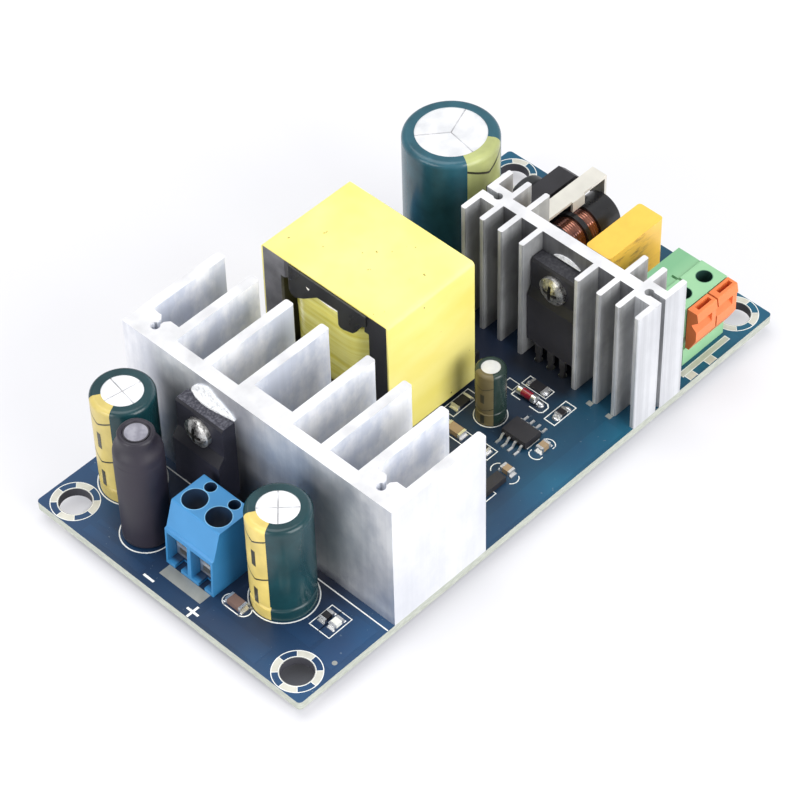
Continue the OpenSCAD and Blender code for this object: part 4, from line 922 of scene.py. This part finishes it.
def screw_metal(name, y, z):
    """Nickel, with the cross recess dull and dark; the screw points along X."""
    n = Nodes(name)
    _, py, pz = n.split()
    u, v = n.away(py, y), n.away(pz, z)
    bars = [n.all(n.below(a, RECESS_LONG), n.below(b, RECESS_WIDE)) for a, b in ((u, v), (v, u))]
    cross = n.either(*bars)
    grains = n.noise(900, 4, rough=0.7)
    metal = n.mix(n.ramp(grains, 0.35, 0.65), (0.16, 0.155, 0.15), (0.84, 0.83, 0.80))
    n.set(Base_Color=n.mix(cross, metal, (0.10, 0.098, 0.092)), Metallic=0.9)
    n.set(Roughness=n.mix_value(cross, n.spread(grains, 0.2, 0.4), 0.6))
    n.bump(n.noise(700, 3), 0.7, 0.25)
    return n


dress(screw_metal("rectifier_nickel", *RECTIFIER_SCREW), "rectifier_screw")
dress(screw_metal("transistor_nickel", *TRANSISTOR_SCREW), "transistor_screw")
dress(surface("nickel", (0.60, 0.59, 0.57), 0.35, 0.9, patch=0.3, patch_scale=900, grain=0.6,
              grain_scale=900, grain_mm=0.12), "output_screw_near", "output_screw_far")

# %% [markdown]
# The output terminal is a nylon block. It clamps each wire in a steel cage that a screw lifts.
# Light that enters a deep well is lost, so wells and wire mouths are darkened by their place, as
# painted shade, and the rims of the wells are painted lighter, a painted highlight. That costs
# nothing, where more bounces of light would slow every picture.

# %% Output terminal
POLE, WELL_X, WELL_RADIUS, PROBE_X, PROBE_RADIUS = 2.54, -43.6, 2.03, -40.4, 0.98
blue = Nodes("blue_nylon")
px, py, pz = blue.split()
pole = blue.offset(blue.away(py), POLE)
well = blue.reach(blue.offset(px, WELL_X), pole)
probe = blue.reach(blue.offset(px, PROBE_X), pole)
holes = blue.either(blue.below(well, WELL_RADIUS), blue.below(probe, PROBE_RADIUS))
holes = blue.all(holes, blue.above(pz, 7))
# Painted highlight: a lighter ring round the lip of each well and probe hole.
rims = blue.either(blue.inside(well, WELL_RADIUS, WELL_RADIUS + 0.13),
                   blue.inside(probe, PROBE_RADIUS, PROBE_RADIUS + 0.11))
pocket = blue.all(blue.below(blue.away(pole), 2.14), blue.inside(pz, 2.0, 8.4),
                  blue.slope(px, -47.8, -47.1), blue.below(px, -40.5))
nylon = blue.mix(blue.spread(blue.noise(180, 4)), (0.034, 0.205, 0.440), (0.042, 0.232, 0.490))
nylon = blue.mix(rims, nylon, (0.16, 0.42, 0.66))
nylon = blue.mix(blue.either(holes, pocket), nylon, (0.022, 0.050, 0.105))
blue.set(Base_Color=nylon, Roughness=0.36)
blue.bump(blue.noise(900, 2), 0.25, 0.03)
dress(blue, "output_terminal_housing")

# %% [markdown]
# The input terminal grips each wire with a spring, and an orange lever opens it. Its nylon is pale
# green. The block turns darker towards the far side, and its test holes are painted dark with
# painted shade, like the wells of the other block, with a painted darker ring at their lip.

# %% Input terminal
TEST_HOLE, HOLES_X, HOLES_APART, HOLES_Y = 1.34, 40.0, 2.5, -22.7
green = Nodes("green_nylon")
px, py, pz = green.split()
from_pair = green.offset(green.away(px, HOLES_X), HOLES_APART)
hole = green.reach(from_pair, green.offset(py, HOLES_Y))
nylon = green.mix(green.spread(green.noise(180, 4)), (0.27, 0.52, 0.29), (0.32, 0.58, 0.33))
nylon = green.mix(green.slope(py, -20.8, -17.5, 0.0, 0.75), nylon, (0.15, 0.38, 0.20))
# Painted shade: a darker ring at the lip of each test hole, and dark inside it.
nylon = green.mix(green.inside(hole, TEST_HOLE, TEST_HOLE + 0.11), nylon, (0.16, 0.36, 0.20))
depth = green.all(green.below(hole, TEST_HOLE), green.above(pz, 8))
nylon = green.mix(depth, nylon, (0.020, 0.060, 0.050))
green.set(Base_Color=nylon, Roughness=0.42)
green.bump(green.noise(900, 2), 0.25, 0.03)
dress(green, "input_terminal_housing")
dress(surface("orange_nylon", (0.76, 0.20, 0.058), 0.4, patch_scale=240, grain=0.2,
              grain_scale=900, grain_mm=0.03), "input_lever_inner", "input_lever_outer")
dress(surface("plated_steel", (0.74, 0.74, 0.73), 0.3, 0.9, patch=0.1),
      "output_contacts", "input_contacts", "output_clamp_near", "output_clamp_far", "input_springs")

# %% [markdown]
# The line filter is wound in two sections with enamelled copper. A bump pattern could stand for
# the wire, but light on round wire is what makes a coil look like one. So the turns are real here,
# each beside the last, drawn as a tube along a helix over the solid coil of the frame.

# %% Line filter


def tube(bm, points, radius, sides=8):
    """A round wire through points in millimetres."""
    points = [Vector(p) for p in points]
    rings = []
    normal = None
    for i, p in enumerate(points):
        along = (points[min(i + 1, len(points) - 1)] - points[max(i - 1, 0)]).normalized()
        normal = along.orthogonal().normalized() if normal is None else normal
        normal = (normal - along * normal.dot(along)).normalized()
        side = along.cross(normal)
        turns = [2 * math.pi * k / sides for k in range(sides)]
        rings.append([bm.verts.new((p + radius * (normal * math.cos(a) + side * math.sin(a))) * MM)
                      for a in turns])
    stack(bm, rings)


COIL_Y, COIL_Z, WIRE, STEPS = 3.2, 7.7, 0.27, 20
SECTIONS, LAYERS = ((37.8, 40.7), (41.7, 43.7)), (2.75, 3.12)
bm = bmesh.new()
for start, end in SECTIONS:
    for radius in LAYERS:
        count = int((end - start) / (2 * WIRE)) * STEPS
        path = []
        for k in range(count + 1):
            a = 2 * math.pi * k / STEPS
            along = start + WIRE + (end - start - 2 * WIRE) * k / count
            path.append((along, COIL_Y + radius * math.cos(a), COIL_Z + radius * math.sin(a)))
        tube(bm, path, WIRE)
copper = Nodes("enamelled_copper")
glow = copper.spread(copper.noise(600, 3))
copper.set(Base_Color=copper.mix(glow, (0.13, 0.038, 0.026), (0.44, 0.165, 0.10)))
copper.set(Metallic=0.85, Roughness=0.18, Coat_Weight=0.8, Coat_Roughness=0.06)
piece("filter_coils", bm, copper, smooth=True)
dress(copper, "choke_winding", "filter_windings")
dress(surface("strap_tin", (0.78, 0.755, 0.68), 0.42, 0.5, patch=0.05, patch_scale=300, grain=0.3),
      "filter_strap")

# %% [markdown]
# Mains parts are boxed, potted or dipped, for safety. The film capacitor's box has brown smears of
# flux on its near face, from noise that fades out along the face. The fuse stands low behind it,
# and is built here as two blocks, one on the other.

# %% Mains parts
box = Nodes("film_box")
lacquer = box.mix(box.spread(box.noise(400, 4)), (0.86, 0.51, 0.07), (0.94, 0.57, 0.08))
near_face = box.maths("LESS_THAN", box.split(box.facing)[1], -0.5)
smears = box.ramp(box.noise(330, 5, (0.8, 1, 2.4), 0.7), 0.50, 0.62)
smears = box.all(smears, near_face, box.slope(box.split()[0], 46.2, 42.0, 0.1, 0.8))
box.set(Base_Color=box.mix(smears, lacquer, (0.36, 0.19, 0.045)))
box.set(Roughness=box.ramp(smears, 0, 1, 0.32, 0.5), Coat_Weight=0.2, Coat_Roughness=0.15)
box.bump(box.noise(800, 3), 0.2, 0.03)
dress(box, "film_capacitor")
FUSE = (41.2, -12.2)
bm = bmesh.new()
prism(bm, round_rectangle(*FUSE, 4.2, 2.0, 0.8), BOARD_TOP, 5.2)
prism(bm, round_rectangle(*FUSE, 3.6, 1.5, 0.6), 5.1, 5.4)
fuse = piece("fuse_block", bm, epoxy)
soften(fuse, 0.15)
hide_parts("input_fuse")
dress(surface("thermistor_coat", (0.02, 0.022, 0.024), 0.45, patch=0.2, grain=0.4, grain_scale=700,
              grain_mm=0.08), "thermistor")
dress(surface("blue_coat", (0.03, 0.12, 0.38), 0.25, patch=0.1, grain_scale=500, grain_mm=0.06,
              coat=0.4), "safety_capacitor")

# %% [markdown]
# Small parts lie flat on the board: black chip resistors, tan ceramic capacitors, a diode in red
# glass and a milky lamp. They are too small for more than a colour and a gloss; only the ceramic
# changes along the board, because the chip at the output end is browner than the others.

# %% Chip finishes
dress(surface("resistor_film", (0.016, 0.015, 0.018), 0.35, patch=0.1), "chip_resistors")
ceramic = Nodes("capacitor_ceramic")
fired = ceramic.mix(ceramic.spread(ceramic.noise(220, 4)), (0.30, 0.21, 0.12), (0.38, 0.27, 0.16))
left_end = ceramic.below(ceramic.split()[0], -30)
ceramic.set(Base_Color=ceramic.mix(left_end, fired, (0.17, 0.105, 0.085)), Roughness=0.45)
dress(ceramic, "chip_capacitors")
dress(surface("red_glass", (0.27, 0.018, 0.035), 0.15, patch=0.2, patch_scale=900, coat=0.6),
      "glass_diode")
dress(surface("led_lens", (0.85, 0.85, 0.78), 0.25, patch=0.04, coat=0.4), "power_led")

# %% [markdown]
# Chips are placed by machine and soldered in an oven. Each ends in two tinned caps, and the solder
# climbs them in a small slope. One table holds them all, lengthways or across.

# %% Chip ends and solder
CAP_LONG, FLOW_LONG, PROUD = 0.45, 0.35, 0.02
CHIPS = [  # x, y, length, width, height, lies across the board
    (5.5, -5.2, 3.2, 1.6, 0.6, False), (14.4, -18.2, 2.0, 1.25, 0.6, False),
    (-39.4, -20.0, 2.0, 1.25, 0.6, False), (7.1, -21.0, 2.0, 1.25, 1.0, False),
    (-39.4, -21.98, 2.0, 1.25, 0.8, False), (16.05, -11.9, 3.2, 1.6, 0.55, True),
    (0.6, -14.4, 2.0, 1.25, 0.55, True), (0.4, -8.7, 3.2, 1.6, 1.0, True),
    (-0.2, -20.2, 2.0, 1.25, 1.0, True), (-46.8, -8.6, 3.2, 1.6, 1.0, True)
]
MOUNDS = [  # x, y, width, depth, height
    (13.42, -14.65, 1.1, 1.3, 0.75), (13.42, -9.95, 0.9, 0.6, 0.4),
    (12.95, -18.24, 0.7, 1.1, 0.3), (15.85, -18.3, 0.7, 1.1, 0.3),
    (16.05, -10.1, 1.2, 0.6, 0.3), (16.05, -13.7, 1.2, 0.6, 0.3)
]


def chip_block(bm, start, stop, middle, half, crosswise, low, high, grow=0.0):
    a, b = sorted((start, stop))
    c, d = middle - half, middle + half
    outline = rectangle(c, a, d, b) if crosswise else rectangle(a, c, b, d)
    prism(bm, outline, BOARD_TOP + low, BOARD_TOP + high, grow)


ends = bmesh.new()
for x, y, length, width, tall, crosswise in CHIPS:
    along, middle = (y, x) if crosswise else (x, y)
    for side in (-1, 1):
        tip = along + side * (length / 2 + PROUD)
        chip_block(ends, tip, tip - side * CAP_LONG, middle, width / 2 + PROUD, crosswise,
                   PROUD / 2, tall + PROUD)
        chip_block(ends, tip, tip + side * FLOW_LONG, middle, width / 2, crosswise, 0, 0.16, 0.1)
piece("chip_ends", ends, bright)
mounds = bmesh.new()
for x, y, wide, deep, tall in MOUNDS:
    turns = [0.3 + 0.63 * k for k in range(10)]
    for share, low, high, grow in ((1.0, 0.0, 0.6, 0.12), (0.6, 0.5, 1.0, 0.2)):
        outline = [(x + share * wide / 2 * math.cos(a), y + share * deep / 2 * math.sin(a))
                   for a in turns]
        prism(mounds, outline, BOARD_TOP + low * tall, BOARD_TOP + high * tall, grow)
piece("pad_solder", mounds, solder, smooth=True)

# %% [markdown]
# The camera looks down from beyond the output end through a long lens, which keeps the edges of
# the board nearly parallel. Its axes are given: that is more exact than aiming it at a target.

# %% Camera
LENS = 141.8
RIGHT = Vector((0.692590, -0.721083, -0.018932))
UP = Vector((0.538210, 0.499113, 0.679129))
STAND = Vector((-0.237751, -0.235026, 0.363942))
camera_data = bpy.data.cameras.new("camera")
camera_data.sensor_width = 36
camera_data.lens = LENS
camera_data.clip_start, camera_data.clip_end = 0.01, 50
camera = bpy.data.objects.new("camera", camera_data)
scene.collection.objects.link(camera)
turn = Matrix((RIGHT, UP, RIGHT.cross(UP))).transposed().to_4x4()
camera.matrix_world = Matrix.Translation(STAND) @ turn
scene.camera = camera
print("camera distance m:", round(STAND.length, 3), "lens mm:", LENS)

# %% [markdown]
# The board lies on a pale table, just clear of its solder joints. The table glows a little, as
# paper lit from below does, which keeps it white. Little light gets under the board, so the table
# is dark there, and shows dark through the screw hole nearest to the camera.

# %% Floor
FLOOR_Z = -2.05
FLOOR_TONE = (0.42, 0.42, 0.43)
bm = bmesh.new()
bmesh.ops.create_grid(bm, x_segments=1, y_segments=1, size=2.0)
floor_mesh = bpy.data.meshes.new("floor")
bm.to_mesh(floor_mesh)
bm.free()
floor = bpy.data.objects.new("floor", floor_mesh)
floor.location.z = FLOOR_Z * MM
scene.collection.objects.link(floor)
pale = surface("pale_floor", FLOOR_TONE, 0.7, patch=0.01, patch_scale=5, grain=0.0)
x, y, _ = pale.split()
under_board = pale.all(pale.slope(x, -53.0, -50.8), pale.slope(x, 49.5, 46.5),
                       pale.slope(y, -27.8, -25.5), pale.slope(y, 24.5, 21.5))
pale.set(Base_Color=pale.mix(under_board, FLOOR_TONE, (0.07, 0.075, 0.09)))
pale.set(Emission_Color=(0.96, 0.955, 1.0, 1))
pale.set(Emission_Strength=pale.ramp(under_board, 0, 1, 0.42, 0.034))
floor_mesh.materials.append(pale.material)
print("floor at mm:", FLOOR_Z)

# %% [markdown]
# A bright sky stands all round, with a broad lamp above and behind, and two more near and to the
# left. A hard lamp would give black shadows; broad ones let tops shine and shadows fall softly.

# %% Light
LAMP_SIZE = 0.7
LAMPS = [("top", (-0.05, 0.22, 0.78), (0, 0, 0), 3.8),
         ("near", (0.05, -0.90, 0.45), (0, 0, 0.01), 9.0),
         ("left", (-0.95, 0.10, 0.30), (0, 0, 0.01), 6.0)]
for name, place, target, power in LAMPS:
    data = bpy.data.lights.new(name, "AREA")
    data.size = LAMP_SIZE
    data.energy = power
    lamp = bpy.data.objects.new(name, data)
    lamp.location = place
    lamp.rotation_euler = (Vector(place) - Vector(target)).to_track_quat("Z", "Y").to_euler()
    scene.collection.objects.link(lamp)
world = bpy.data.worlds.new("studio")
world.use_nodes = True
sky = world.node_tree.nodes["Background"].inputs
sky["Color"].default_value = (0.97, 0.98, 1.0, 1)
sky["Strength"].default_value = 0.62
scene.world = world
scene.view_settings.view_transform = "Standard"
print("lamps:", len(LAMPS))

# %% [markdown]
